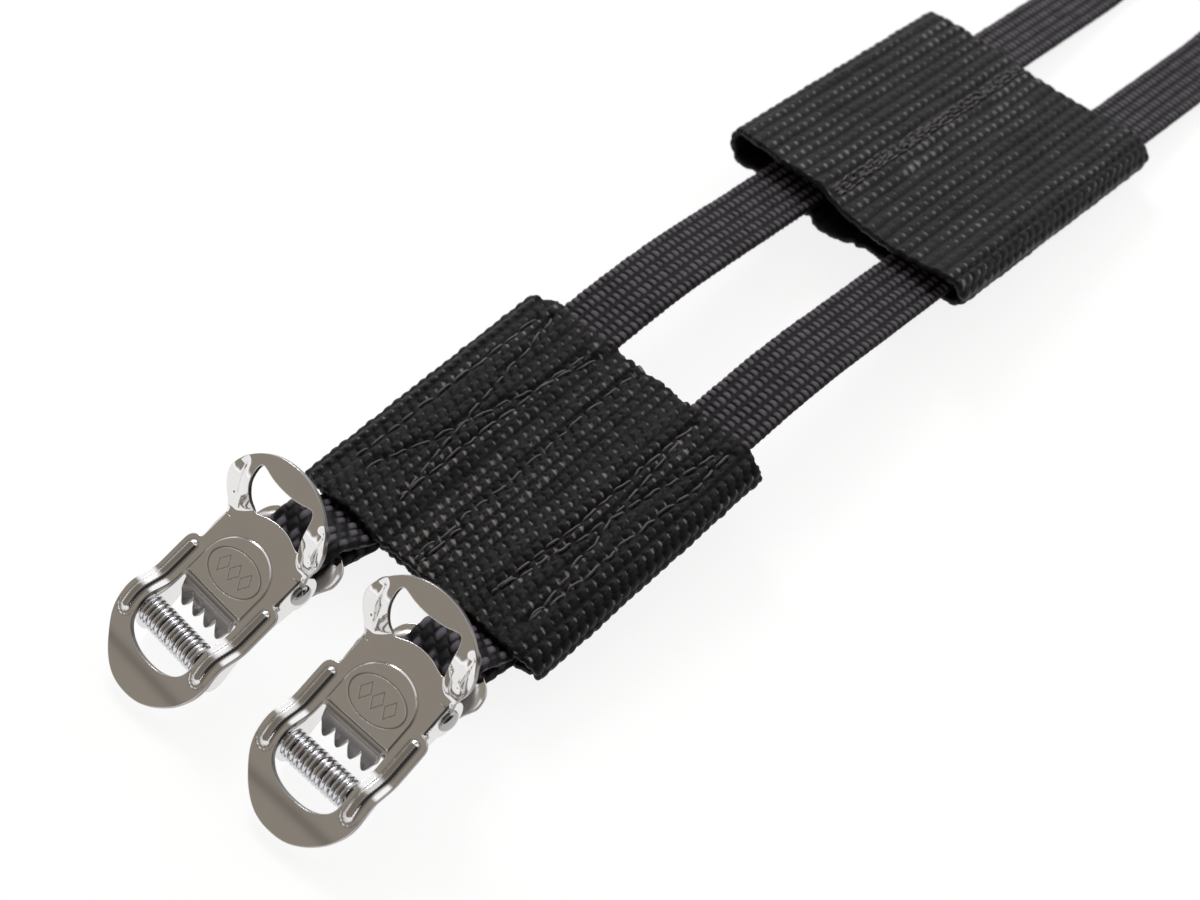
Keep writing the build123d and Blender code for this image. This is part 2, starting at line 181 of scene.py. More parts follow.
def cell_random(i, j, seed):
    """One repeatable number from -1 to 1 for each cell of a weave."""
    phase = np.asarray(i, float) * 127.1 + np.asarray(j, float) * 311.7 + seed * 74.7
    value = np.sin(phase) * 43758.5453
    return 2 * (value - np.floor(value)) - 1


def distance_along(path):
    steps = np.linalg.norm(np.diff(path, axis=0), axis=1)
    return np.concatenate([[0], np.cumsum(steps)])


def chaikin(points, rounds=3):
    """Closed outline with its corners cut, round after round."""
    p = np.array(points, float)
    for _ in range(rounds):
        after = np.roll(p, -1, 0)
        cuts = [0.75 * p + 0.25 * after, 0.25 * p + 0.75 * after]
        p = np.stack(cuts, 1).reshape(-1, p.shape[1])
    return p


def resample(points, step, closed=True):
    p = np.array(points, float)
    if closed:
        p = np.vstack([p, p[:1]])
    along = distance_along(p)
    count = max(3, int(round(along[-1] / step)))
    if closed:
        t = np.linspace(0, along[-1], count, endpoint=False)
    else:
        t = np.linspace(0, along[-1], count + 1)
    return np.stack([np.interp(t, along, column) for column in p.T], 1)


def smooth_path(points, sigma, step):
    p = resample(points, step, closed=False)
    reach = max(1, int(3 * sigma / step))
    kernel = gauss_kernel(reach, step, sigma)
    before = 2 * p[0] - p[1:reach + 1][::-1]
    after = 2 * p[-1] - p[-reach - 1:-1][::-1]
    padded = np.vstack([before, p, after])
    return np.stack([np.convolve(column, kernel, mode="valid") for column in padded.T], 1)


def line_distance(x, y, start, end):
    """Distance from points to a straight line piece."""
    start, along = np.array(start), np.array(end) - np.array(start)
    t = ((x - start[0]) * along[0] + (y - start[1]) * along[1]) / (along @ along)
    t = np.clip(t, 0, 1)
    return np.hypot(x - start[0] - t * along[0], y - start[1] - t * along[1])


def inside(points, outline):
    """Even-odd test of many points against one closed outline."""
    result = np.zeros(len(points), bool)
    a, b = outline, np.roll(outline, -1, 0)
    rise = np.where(np.abs(b[:, 1] - a[:, 1]) < 1e-12, 1e-12, b[:, 1] - a[:, 1])
    for start in range(0, len(points), 4000):
        part = points[start:start + 4000]
        x, y = part[:, 0][:, None], part[:, 1][:, None]
        crosses = (a[:, 1] > y) != (b[:, 1] > y)
        cross_x = (b[:, 0] - a[:, 0]) * (y - a[:, 1]) / rise + a[:, 0]
        result[start:start + 4000] = (np.sum(crosses & (x < cross_x), axis=1) % 2) == 1
    return result


def inside_sheet(points, loops):
    """Inside the first loop and outside all the others."""
    result = inside(points, loops[0])
    for hole in loops[1:]:
        result &= ~inside(points, hole)
    return result


def near(points, others, radius):
    result = np.zeros(len(points), bool)
    for start in range(0, len(points), 2000):
        part = points[start:start + 2000]
        squared = ((part[:, None, :] - others[None, :, :]) ** 2).sum(2).min(1)
        result[start:start + 2000] = squared < radius * radius
    return result


# --- Mesh making -------------------------------------------------------------
def new_object(name, verts_mm, faces, mat, normals=None, uv=None, values=None):
    """Smooth mesh object; uv, normals and the named values hold one entry per vertex."""
    me = bpy.data.meshes.new(name)
    me.from_pydata([tuple(v) for v in (np.asarray(verts_mm) * MM).tolist()], [], faces)
    me.update()
    me.shade_smooth()
    if uv is not None:
        loops = np.zeros(len(me.loops), np.int32)
        me.loops.foreach_get("vertex_index", loops)
        layer = me.uv_layers.new(name="UVMap")
        layer.data.foreach_set("uv", np.asarray(uv, np.float32)[loops].ravel())
    for key, numbers in (values or {}).items():
        attribute = me.attributes.new(key, "FLOAT", "POINT")
        attribute.data.foreach_set("value", np.asarray(numbers, np.float32))
    if normals is not None:
        me.normals_split_custom_set_from_vertices([tuple(n) for n in normals.tolist()])
    me.materials.append(mat)
    ob = bpy.data.objects.new(name, me)
    bpy.context.scene.collection.objects.link(ob)
    return ob


def assign(ob, body, slot, *cad):
    """Tie an object to its moving body and hide the CAD pieces it replaces; slot is not used."""
    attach(ob, body)
    if cad:
        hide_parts(*cad)


def metres(point):
    return tuple(point * MM)


def grid_faces(rows, columns):
    """Quads of a grid whose columns close into a ring."""
    k, j = np.meshgrid(np.arange(rows - 1), np.arange(columns), indexing="ij")
    a, b = k * columns + j, k * columns + (j + 1) % columns
    return np.stack([a, b, b + columns, a + columns], -1).reshape(-1, 4).tolist()


def point_grid(step, low, high):
    """Staggered rows of points in a box."""
    xs = np.arange(low[0] + step / 2, high[0], step)
    ys = np.arange(low[1] + step * 0.43, high[1], step)
    x, y = np.meshgrid(xs, ys)
    x = x + (np.arange(len(ys)) % 2)[:, None] * step * 0.5
    return np.stack([x.ravel(), y.ravel()], 1)


def triangulate(outline, holes, step, edge_step, fine):
    """Points and triangles of a flat outline with holes, counter-clockwise from above."""
    loops = [resample(loop, edge_step) for loop in (outline, *holes)]
    edge = np.vstack(loops)
    points = point_grid(step, loops[0].min(0), loops[0].max(0))
    if fine is not None:
        low, high, fine_step = fine
        in_box = np.all((points > low) & (points < high), axis=1)
        points = np.vstack([points[~in_box], point_grid(fine_step, low, high)])
    points = points[inside_sheet(points, loops)]
    points = points[~near(points, edge, 0.55 * edge_step)]
    edges, first = [], 0
    for loop in loops:
        count = len(loop)
        edges += [(first + k, first + (k + 1) % count) for k in range(count)]
        first += count
    corners = [Vector(p) for p in np.vstack([edge, points]).tolist()]
    result = delaunay_2d_cdt(corners, edges, [], 0, 1e-6, False)
    flat = np.array([[p.x, p.y] for p in result[0]])
    tri = np.array(result[2], int)
    tri = tri[inside_sheet(flat[tri].mean(1), loops)]
    a, b, c = flat[tri[:, 0]], flat[tri[:, 1]], flat[tri[:, 2]]
    area = (b[:, 0] - a[:, 0]) * (c[:, 1] - a[:, 1]) - (b[:, 1] - a[:, 1]) * (c[:, 0] - a[:, 0])
    solid = np.abs(area) > 1e-9
    tri, area = tri[solid], area[solid]
    tri[area < 0] = tri[area < 0][:, ::-1]
    used = np.unique(tri)
    remap = -np.ones(len(flat), int)
    remap[used] = np.arange(len(used))
    return flat[used], remap[tri]


# rounded upper edge of a sheet: (outwards, down, angle of the normal in degrees)
RIM = [(0.055, 0.018, 28), (0.11, 0.075, 60), (0.13, 0.16, 90)]


def sheet(name, outline, holes, surface, thick, place, step, edge_step, fine=None, shade=None):
    """Bent plated sheet with holes and slightly rounded edges.

    surface(x, y) gives the top face's points, shade(x, y) how much painted shade darkens the
    plating there, which also roughens it.
    fine is (low corner, high corner, step) of a more closely meshed box.
    """
    flat, tri = triangulate(outline, holes, step, edge_step, fine)
    x, y = flat[:, 0], flat[:, 1]
    delta = 0.015
    top = surface(x, y)
    normal = unit(np.cross(surface(x + delta, y) - surface(x - delta, y),
                           surface(x, y + delta) - surface(x, y - delta)))
    # border edges, directed with the sheet on their left
    directed = np.vstack([tri[:, [0, 1]], tri[:, [1, 2]], tri[:, [2, 0]]])
    pairs = {(int(a), int(b)) for a, b in directed}
    border = [(a, b) for a, b in pairs if (b, a) not in pairs]
    following = dict(border)
    preceding = {b: a for a, b in border}
    ring = np.array(sorted(following))
    after = np.array([following[k] for k in ring])
    before = np.array([preceding[k] for k in ring])
    outward = unit(np.cross(unit(top[after] - top[before]), normal[ring]))
    rim = RIM + [(out, thick - down, 180 - deg) for out, down, deg in RIM[::-1]]
    rows, row_normals, rim_painted_shades = [], [], []
    for out, down, deg in rim:
        c, s = math.cos(math.radians(deg)), math.sin(math.radians(deg))
        rows.append(top[ring] + outward * out - normal[ring] * down)
        row_normals.append(normal[ring] * c + outward * s)
        # painted shade: the rounded rims are darkened, most where they face sideways, to draw thin
        # dark edges
        rim_painted_shades.append(np.full(len(ring), 0.75 * s ** 2))
    verts = np.vstack([top] + rows + [top - normal * thick])
    normals = np.vstack([normal] + row_normals + [-normal])
    under_start = len(top) + len(ring) * len(rim)
    faces = tri.tolist() + (tri[:, ::-1] + under_start).tolist()
    place_in_ring = {int(k): j for j, k in enumerate(ring)}
    next_in_ring = np.array([place_in_ring[int(k)] for k in after])
    levels = [len(top) + len(ring) * k + np.arange(len(ring)) for k in range(len(rim))]
    levels = [ring] + levels + [ring + under_start]
    for upper, lower in zip(levels[:-1], levels[1:]):
        quads = [upper, lower, lower[next_in_ring], upper[next_in_ring]]
        faces += np.stack(quads, 1).tolist()
    uv = np.vstack([flat] + [flat[ring]] * len(rim) + [flat])
    if shade is None:
        shades = np.zeros(len(verts))
    else:
        shades = np.concatenate([shade(x, y)] + rim_painted_shades + [np.zeros(len(flat))])
    return new_object(name, place.points(verts), faces, PLATED, uv=uv,
                      normals=place.directions(normals), values={"shade": shades})


def lathe(name, outline, segments, place, mat):
    """Turned shape about local X from (x, radius) points; closed at both ends on the axis."""
    verts, faces = [], []
    body = outline[1:-1]
    angles = np.linspace(0, 2 * math.pi, segments, endpoint=False)
    for x, radius in body:
        verts += [(x, radius * math.cos(angle), radius * math.sin(angle)) for angle in angles]
    first, last = len(verts), len(verts) + 1
    verts += [(outline[0][0], 0, 0), (outline[-1][0], 0, 0)]
    for k in range(len(body) - 1):
        for j in range(segments):
            a, b = k * segments + j, k * segments + (j + 1) % segments
            faces.append((a, a + segments, b + segments, b))
    end_row = (len(body) - 1) * segments
    for j in range(segments):
        faces.append((first, j, (j + 1) % segments))
        faces.append((last, end_row + (j + 1) % segments, end_row + j))
    uv = np.array([(x, math.atan2(z, y)) for x, y, z in verts])
    return new_object(name, place.points(verts), faces, mat, uv=uv)


def tube(path, radius, sides):
    """Vertices and faces of round wire or thread along a path, closed at both ends."""
    p = np.array(path, float)
    tangent = unit(np.gradient(p, axis=0))
    steep = abs(tangent[0, 2]) >= 0.9
    guide = np.array([1.0, 0.0, 0.0]) if steep else np.array([0.0, 0.0, 1.0])
    normal = np.zeros_like(p)
    for k in range(len(p)):
        normal[k] = unit(guide - tangent[k] * (guide @ tangent[k]))
        guide = normal[k]
    side = np.cross(tangent, normal)
    angle = np.linspace(0, 2 * math.pi, sides, endpoint=False)[None, :, None]
    radius = np.broadcast_to(np.asarray(radius, float), (len(p),))[:, None, None]
    ring = (normal[:, None, :] * np.cos(angle) + side[:, None, :] * np.sin(angle)) * radius
    faces = grid_faces(len(p), sides)
    faces.append(list(range(sides))[::-1])
    faces.append([(len(p) - 1) * sides + k for k in range(sides)])
    return (p[:, None, :] + ring).reshape(-1, 3), faces


def joined(name, parts, mat, place, tones=None):
    """One object from several (vertices, faces), with one tone for each part."""
    faces, first = [], 0
    for verts, part_faces in parts:
        faces += [[k + first for k in face] for face in part_faces]
        first += len(verts)
    values = None
    if tones is not None:
        values = {"tone": np.repeat(tones, [len(verts) for verts, _ in parts])}
    all_verts = np.vstack([verts for verts, _ in parts])
    return new_object(name, place.points(all_verts), faces, mat, values=values)


# --- Materials ---------------------------------------------------------------
class Graph:
    """Node tree of a material or world, emptied and ready to fill."""

    def __init__(self, owner):
        self.tree = owner.node_tree
        self.tree.nodes.clear()

    def link(self, source, target):
        self.tree.links.new(source, target)

    def add(self, kind, inputs=None, **settings):
        """Node with settings; each input is a value or the socket that feeds it."""
        node = self.tree.nodes.new(kind)
        for key, value in settings.items():
            setattr(node, key, value)
        for key, value in (inputs or {}).items():
            if isinstance(value, bpy.types.NodeSocket):
                self.link(value, node.inputs[key])
            else:
                node.inputs[key].default_value = value
        return node

    def math(self, operation, a, b, clamp=False):
        return self.add("ShaderNodeMath", {0: a, 1: b}, operation=operation,
                        use_clamp=clamp).outputs[0]

    def attribute(self, name):
        return self.add("ShaderNodeAttribute", attribute_name=name).outputs["Fac"]

    def ramp(self, fac, stops):
        node = self.add("ShaderNodeValToRGB", {0: fac})
        elements = node.color_ramp.elements
        while len(elements) < len(stops):
            elements.new(0.5)
        for element, (position, colour) in zip(elements, stops):
            element.position = position
            element.color = (*colour, 1)
        return node.outputs[0]

    def grey_ramp(self, fac, stops):
        return self.ramp(fac, [(position, (level,) * 3) for position, level in stops])

    def mix(self, fac, a, b):
        return self.add("ShaderNodeMixRGB", {0: fac, 1: a, 2: b}).outputs[0]

    def mapped(self, source, scale, turn):
        """Coordinates scaled, and turned about Z in radians."""
        return self.add("ShaderNodeMapping", {"Scale": scale, "Rotation": (0, 0, turn),
                                              "Vector": source}).outputs[0]

    def noise(self, vector, scale, detail):
        return self.add("ShaderNodeTexNoise", {"Scale": scale, "Detail": detail,
                                               "Vector": vector}).outputs[0]

    def principled(self, inputs):
        shader = self.add("ShaderNodeBsdfPrincipled", inputs)
        self.add("ShaderNodeOutputMaterial", {0: shader.outputs[0]})
        return shader

    def bump(self, shader, height, strength, distance):
        node = self.add("ShaderNodeBump", {"Strength": strength, "Distance": distance,
                                           "Height": height})
        self.link(node.outputs[0], shader.inputs["Normal"])


def material(name):
    mat = bpy.data.materials.new(name)
    mat.use_nodes = True
    return mat, Graph(mat)


def webbing(name, dark, light, filament, tilt, rough, sheen):
    """Woven nylon: filaments, painted highlights on the tops, painted shade in the valleys and a
    little fuzz.
    """
    mat, graph = material(name)
    uv = graph.add("ShaderNodeUVMap").outputs[0]
    tone = graph.attribute("tone")
    yarn = graph.attribute("yarn")
    shader = graph.principled({
        "Roughness": rough, "Specular IOR Level": 0.17, "Sheen Weight": sheen,
        "Sheen Roughness": 0.4, "Sheen Tint": (0.8, 0.78, 0.9, 1)})
    patches = graph.noise(uv, scale=0.35, detail=4)
    fibres = graph.noise(graph.mapped(uv, scale=(1.0, 0.35, 1.0), turn=tilt), scale=5.0, detail=5)
    # brightness: mostly the weave's tone (painted highlight and shade), varied by patches and
    # fibres
    level = graph.math("ADD", graph.math("MULTIPLY", tone, 0.75),
                       graph.math("MULTIPLY", patches, 0.25))
    grain = graph.math("MULTIPLY", graph.math("SUBTRACT", fibres, 0.5), 0.35)
    level = graph.math("ADD", level, grain, clamp=True)
    # painted highlight colours lead up to light, and a painted shade colour darker than dark fills
    # the valleys
    painted_highlight = tuple(0.55 * bright + 0.2 * deep for bright, deep in zip(light, dark))
    valley_shade = tuple(c * 0.3 for c in dark)
    colour = graph.ramp(level, [(0.0, valley_shade), (0.42, dark), (0.62, painted_highlight), (0.95, light)])
    graph.link(colour, shader.inputs["Base Color"])
    # filaments: fine ridges that run along each yarn, crossing over from yarn to yarn
    ridges = []
    for turn in (tilt, -tilt):
        wave = graph.add("ShaderNodeTexWave", {
            "Scale": filament, "Distortion": 1.4, "Detail": 2,
            "Vector": graph.mapped(uv, scale=(1, 1, 1), turn=turn)},
            wave_type="BANDS", bands_direction="X")
        ridges.append(wave.outputs[1])
    pick = graph.math("GREATER_THAN", yarn, 0.0)
    ridge = graph.math("ADD", graph.math("MULTIPLY", ridges[0], pick),
                       graph.math("MULTIPLY", ridges[1], graph.math("SUBTRACT", 1.0, pick)))
    # roughness stays centred on rough
    spread = graph.math("MULTIPLY", fibres, 0.22)
    graph.link(graph.math("ADD", spread, rough - 0.11), shader.inputs["Roughness"])
    height = graph.math("ADD", ridge, graph.math("MULTIPLY", fibres, 0.8))
    graph.bump(shader, height, strength=0.55, distance=0.00006)
    return mat


def chrome(name, tint, rough, scratch):
    """Bright plated steel with faint polishing marks, a little haze and painted shade where the
    shade attribute is set.
    """
    mat, graph = material(name)
    local = graph.add("ShaderNodeTexCoord").outputs["Object"]
    shader = graph.principled({"Metallic": 1.0, "Roughness": rough})
    haze = graph.noise(local, scale=260, detail=4)
    marks = graph.noise(graph.mapped(local, scale=(1.0, 0.08, 0.3), turn=0.3),
                        scale=900, detail=3)
    # haze and the places with painted shade add to the roughness
    roughness = graph.math("ADD", graph.math("MULTIPLY", haze, 0.06), rough - 0.03)
    dullness = graph.math("MULTIPLY", graph.attribute("shade"), 0.34)
    graph.link(graph.math("ADD", roughness, dullness), shader.inputs["Roughness"])
    bright = graph.ramp(haze, [(0.25, tuple(c * 0.965 for c in tint)), (0.75, tint)])
    # painted shade: the shade attribute mixes the plating towards this dark colour
    painted_shade_colour = (0.085, 0.072, 0.062, 1)
    graph.link(graph.mix(graph.attribute("shade"), bright, painted_shade_colour), shader.inputs["Base Color"])
    graph.bump(shader, marks, strength=scratch, distance=0.0000015)
    return mat


def thread(name):
    """Dark twisted thread, each stitch with its own tone."""
    mat, graph = material(name)
    local = graph.add("ShaderNodeTexCoord").outputs["Object"]
    tone = graph.attribute("tone")
    shader = graph.principled({"Roughness": 0.5, "Sheen Weight": 0.3})
    twist = graph.noise(graph.mapped(local, scale=(1, 0.3, 1), turn=0.5), scale=4500, detail=3)
    level = graph.math("ADD", graph.math("MULTIPLY", tone, 0.6),
                       graph.math("MULTIPLY", twist, 0.4))
    colour = graph.ramp(level, [(0.1, (0.020, 0.018, 0.023)), (0.9, (0.090, 0.079, 0.100))])
    graph.link(colour, shader.inputs["Base Color"])
    graph.bump(shader, twist, strength=0.6, distance=0.00005)
    return mat


# light is the colour of the painted highlights on the weave
SLEEVE_CLOTH = webbing("sleeve_webbing", dark=(0.0052, 0.0046, 0.0044),
                       light=(0.30, 0.285, 0.282), filament=1.9, tilt=0.5, rough=0.44, sheen=0.03)
STRAP_CLOTH = webbing("strap_webbing", dark=(0.0070, 0.0062, 0.0080),
                      light=(0.150, 0.130, 0.158), filament=2.1, tilt=0.35, rough=0.46, sheen=0.04)
PLATED = chrome("plated_sheet", tint=(0.80, 0.79, 0.78), rough=0.07, scratch=0.25)
# painted dark reflection: this tint is darkened so the rivet heads read darker than the plated
# ears
PIN_STEEL = chrome("steel_pin", tint=(0.40, 0.39, 0.39), rough=0.12, scratch=0.25)
WIRE_STEEL = chrome("steel_wire", tint=(0.70, 0.70, 0.72), rough=0.13, scratch=0.5)
THREAD = thread("stitching")

# --- Lever plate -------------------------------------------------------------
# heights along the lever, (y, z): its side rails, and the toothed tongue between them
rail = profile([(24, 0), (-3.1, 0), (-6.4, 1.75), (-8.0, 1.78), (-10.8, 0.82), (-14.5, -0.72),
                (-18.6, -1.3)], sigma=0.55)
tongue = profile([(24, 0), (-1.15, 0), (-5.0, -2.85)], sigma=0.22)
# where the thumb tab starts to rise: (distance from the middle, y)
tab_start = profile([(3.0, 13.3), (4.4, 13.1), (5.2, 12.0), (6.2, 10.85), (8.6, 10.3),
                     (10.0, 10.2)], sigma=0.45)
TAB_BEND_Y, TAB_RISE = 14.3, 4.95
EAR_X = 8.47  # outer face of the ears
FOLD_RADIUS = 0.8
DIAMONDS_X = (-2.35, 0.0, 2.35)


def oval_line(x, y):
    return (np.sqrt((x / 4.95) ** 2 + ((y - 3.9) / 3.0) ** 2) - 1) * 3.6


def diamond_line(x, y, centre):
    return (np.abs(x - centre) / 0.95 + np.abs(y - 3.9) / 1.45 - 1) * 0.8


def arch_edge(x, y):
    """Distance in from the edge of the raised arch with a straight foot."""
    edge = (1 - np.sqrt((x / 5.9) ** 2 + (np.clip(y - 3.75, 0, 9) / 5.25) ** 2)) * 5.5
    return np.minimum(edge, y + 0.2)


def bead_distance(x, y, hand):
    return line_distance(x, y, (hand * 8.2, 2.45), (hand * 8.25, -9.75))


def root_line_distance(x, y, hand):
    return line_distance(x, y, (hand * 7.2, 9.25), (hand * 8.7, 9.15))


def lever_height(x, y):
    side_x = np.abs(x)
    on_rail = np.maximum(smoothstep(5.45, 6.15, side_x), smoothstep(-7.0, -9.0, y))
    z = rail(y) * on_rail + tongue(y) * (1 - on_rail)
    # thumb tab: riser from each root, then the sloping tab
    start = tab_start(side_x)
    rise = smooth_max(0.0, TAB_RISE * (y - start) / (TAB_BEND_Y - start), 0.75)
    rise = smooth_min(rise, TAB_RISE + 0.46 * (y - TAB_BEND_Y), 0.85)
    z = z + rise * smoothstep(8.4, 10.6, y)
    for hand in (-1, 1):
        # dimple over each bend of the tab, and a small raised one at the root
        dimple = line_distance(x, y, (hand * 8.35, 12.6), (hand * 8.55, 15.9))
        z = z - 0.55 * bell(dimple, 0.72)
        root = line_distance(x, y, (hand * 7.1, 11.2), (hand * 7.15, 12.3))
        z = z + 0.22 * bell(root, 0.6)
        # bead pressed along each rail, with a line round its front end
        bead = bead_distance(x, y, hand)
        z = z + 0.52 * (1 - smoothstep(0.38, 0.92, bead))
        z = z - 0.05 * bell(bead - 1.5, 0.13) * smoothstep(-9.2, -10.0, y)
        # scribed line at the tab's root
        z = z - 0.07 * bell(root_line_distance(x, y, hand), 0.11)
    # the plate's sides roll over downwards into the ears
    over = np.clip(side_x - (EAR_X - 0.79), 0, 0.79)
    fold = FOLD_RADIUS - np.sqrt(np.clip(FOLD_RADIUS ** 2 - over ** 2, 0, 1))
    z = z - fold * smoothstep(4.15, 4.7, y) * (1 - smoothstep(9.5, 10.2, y))
    # raised arch, and a line across the tongue
    z = z + 0.20 * smoothstep(-0.17, 0.17, arch_edge(x, y))
    z = z - 0.07 * bell(y + 1.42, 0.12) * (side_x < 5.3)
    # engraved oval with a row of diamonds in it
    z = z - 0.065 * bell(oval_line(x, y), 0.13)
    for centre in DIAMONDS_X:
        z = z - 0.055 * bell(diamond_line(x, y, centre), 0.10)
    return z


def lever_surface(x, y):
    return np.stack([x, y, lever_height(x, y)], 1)


def lever_painted_shade(x, y):
    """Painted shade on the plating: dark lines along the engraving, the beads and the foot of each
    raised shape, and a darkened toothed tongue and front lip; the same value also roughens the
    plating.
    """
    side_x = np.abs(x)
    shades = [
        0.95 * bell(oval_line(x, y), 0.085),
        0.55 * bell(arch_edge(x, y) + 0.1, 0.12),
        0.95 * bell(y + 0.28, 0.16) * (side_x < 5.6),
        0.6 * bell(y + 1.42, 0.10) * (side_x < 5.3),
        0.62 * smoothstep(-0.5, -0.9, y) * (side_x < 5.35) * (y > -6.0),
        0.35 * bell(y + 14.5, 0.9) * (y < -12.6)]
    shades += [0.8 * bell(diamond_line(x, y, centre), 0.075) for centre in DIAMONDS_X]
    for hand in (-1, 1):
        bead = bead_distance(x, y, hand)
        shades += [
            0.75 * bell(bead - 0.93, 0.10),
            0.5 * bell(bead - 1.5, 0.08) * smoothstep(-9.2, -10.0, y),
            0.45 * bell(bead - 0.15, 0.25),
            0.8 * bell(root_line_distance(x, y, hand), 0.09)]
    return np.max(shades, axis=0)


def flipped(points):
    """The points in reverse order on the other side of the middle."""
    return [(-x, y) for x, y in points[::-1]]


def mirrored(right):
    """Closed outline from its right half, whose first and last points are on the middle."""
    return right + flipped(right[1:-1])


# outlines in the lever's frame, (x, y)
LEVER_OUTLINE = chaikin(mirrored([
    (0.0, 20.35), (3.4, 19.95), (6.4, 18.75), (8.9, 16.75), (10.2, 14.6), (10.35, 13.3),
    (9.9, 11.8), (8.8, 10.5), (8.47, 9.6), (8.47, 7.0), (8.47, 4.5), (8.6, 4.15), (9.3, 3.95),
    (9.85, 3.3), (9.95, 2.2), (9.9, -3.5), (10.05, -8.0), (10.05, -10.3), (9.45, -12.4),
    (7.8, -14.8), (5.3, -17.0), (2.8, -18.2), (0.0, -18.5)]))
TAB_HOLE = chaikin(mirrored([
    (0.0, 16.85), (2.8, 17.05), (4.6, 17.55), (5.5, 17.65), (6.1, 17.0), (6.3, 15.6),
    (6.2, 13.9), (5.6, 12.5), (4.9, 11.95), (4.2, 11.95), (2.2, 12.75), (0.0, 13.0)]))
# one tooth's right half and the gap to its left, as (x from the tooth's centre, y)
TEETH_X = (3.84, 1.28, -1.28, -3.84)
TOOTH = [(0.94, -3.25), (0.56, -3.95), (0.2, -4.45)]
TOOTH_GAP = [(-1.02, -2.72), (-1.28, -2.5), (-1.28, -2.5), (-1.54, -2.72)]
TONGUE_CORNER = [(5.2, -2.6), (5.05, -2.95)]
WINDOW_NOTCH = [(6.3, -1.2), (6.05, -0.7), (5.45, -0.7), (5.2, -1.2)]
WINDOW_SIDE = [(2.5, -13.3), (4.6, -12.55), (6.1, -11.2), (6.65, -9.4), (6.65, -7.0),
               (6.35, -3.6)]


def window_outline():
    """Window of the lever, with the tongue's teeth reaching into it."""
    teeth = []
    for centre in TEETH_X:
        gap = TOOTH_GAP if centre != TEETH_X[-1] else []
        teeth += [(centre + x, y) for x, y in TOOTH + flipped(TOOTH) + gap]
    return chaikin(WINDOW_NOTCH + TONGUE_CORNER + teeth + flipped(TONGUE_CORNER)
                   + flipped(WINDOW_NOTCH) + flipped(WINDOW_SIDE) + [(0.0, -13.5)] + WINDOW_SIDE)


def circle(x, y, radius, count=48):
    angles = [2 * math.pi * k / count for k in range(count)]
    return np.array([(x + radius * math.cos(a), y + radius * math.sin(a)) for a in angles])


def lever_plate(side, lever):
    ob = sheet(f"{side}_lever_plate", LEVER_OUTLINE, [window_outline(), TAB_HOLE], lever_surface,
               thick=0.85, place=lever, step=0.21, edge_step=0.13,
               fine=((-6.7, -4.4), (6.7, 9.6), 0.105), shade=lever_painted_shade)
    assign(ob, f"{side}_lever", "plated_sheet", f"{side}_buckle_lever")


# --- Upright side plates -----------------------------------------------------
# outlines of the right-hand plates, (y, z)
EAR_OUTLINE = chaikin([
    (10.05, -0.45), (10.7, -1.4), (11.05, -2.6), (10.85, -4.0), (9.9, -5.3), (8.5, -5.85),
    (7.0, -5.65), (5.9, -4.8), (5.2, -3.4), (4.75, -1.9), (4.55, -0.45)])
WALL_OUTLINE = chaikin([
    (2.2, -3.95), (2.1, -1.0), (1.6, 1.1), (0.2, 1.95), (-1.4, 1.4), (-7.6, -0.35),
    (-10.6, -1.3), (-13.6, -1.2), (-14.9, -0.5), (-16.1, -0.05), (-17.4, -0.6), (-18.15, -2.0),
    (-18.6, -4.0), (-18.2, -5.7), (-17.3, -6.85), (-16.2, -7.0), (-14.9, -6.6), (-12.6, -5.2),
    (-9.5, -4.25), (-8.0, -3.95)])
# holes: (y, z, radius)
EAR_HOLES = [(PIVOT_Y, PIVOT_Z, 1.06)]
WALL_HOLES = [(0, 0, 1.02), (ROLLER_Y, ROLLER_Z, 1.05)]


def side_plate(name, hand, outer_x, outline, holes, body, **options):
    """Upright plate facing outwards; hand is 1 on the right and -1 on the left."""

    def surface(y, z):
        return np.stack([np.full_like(y, hand * outer_x), hand * y, z], 1)

    name = f"{name}_{'right' if hand > 0 else 'left'}"
    cuts = [circle(hand * y, z, radius) for y, z, radius in holes]
    assign(sheet(name, outline * [hand, 1], cuts, surface, **options), body, "plated_sheet")


def side_plates(side, base, lever):
    for hand in (1, -1):
        side_plate(f"{side}_lever_ear", hand, EAR_X, EAR_OUTLINE, EAR_HOLES, f"{side}_lever",
                   thick=0.84, place=lever, step=0.4, edge_step=0.16)
        side_plate(f"{side}_base_wall", hand, 7.55, WALL_OUTLINE, WALL_HOLES, f"{side}_buckle",
                   thick=0.8, place=base, step=0.45, edge_step=0.18)


# --- Rear plate, rivet and roller --------------------------------------------
PLATE_SIDE = [(7.4, 0.6), (7.75, 2.2), (8.6, 4.0), (8.7, 5.6), (8.1, 7.3), (6.6, 8.5), (4.0, 9.1)]
PLATE_OUTLINE = chaikin([(-7.4, -8.6), (-3.0, -9.0), (3.0, -9.0), (7.4, -8.6)] + PLATE_SIDE
                        + [(0.0, 9.3)] + flipped(PLATE_SIDE))
STRAP_SLOT = chaikin([(-6.4, 2.0), (6.4, 2.0), (6.4, 4.65), (-6.4, 4.65)], rounds=2)


def plate_radius(x, y):
    """1 near the plate's rear rim."""
    return np.sqrt((x / 8.65) ** 2 + (np.clip(y - 3.4, 0, 9) / 5.9) ** 2)


def plate_surface(x, y):
    drop = 0.28 * smoothstep(0.86, 1.02, plate_radius(x, y)) * smoothstep(1.5, 4.0, y)
    return np.stack([x, y, -3.15 - drop], 1)


def plate_painted_shade(x, y):
    # painted shade: the plate darkened everywhere but close to its rear rim
    return 0.85 * smoothstep(0.99, 0.93, plate_radius(x, y)) * smoothstep(-1.0, 2.0, y)


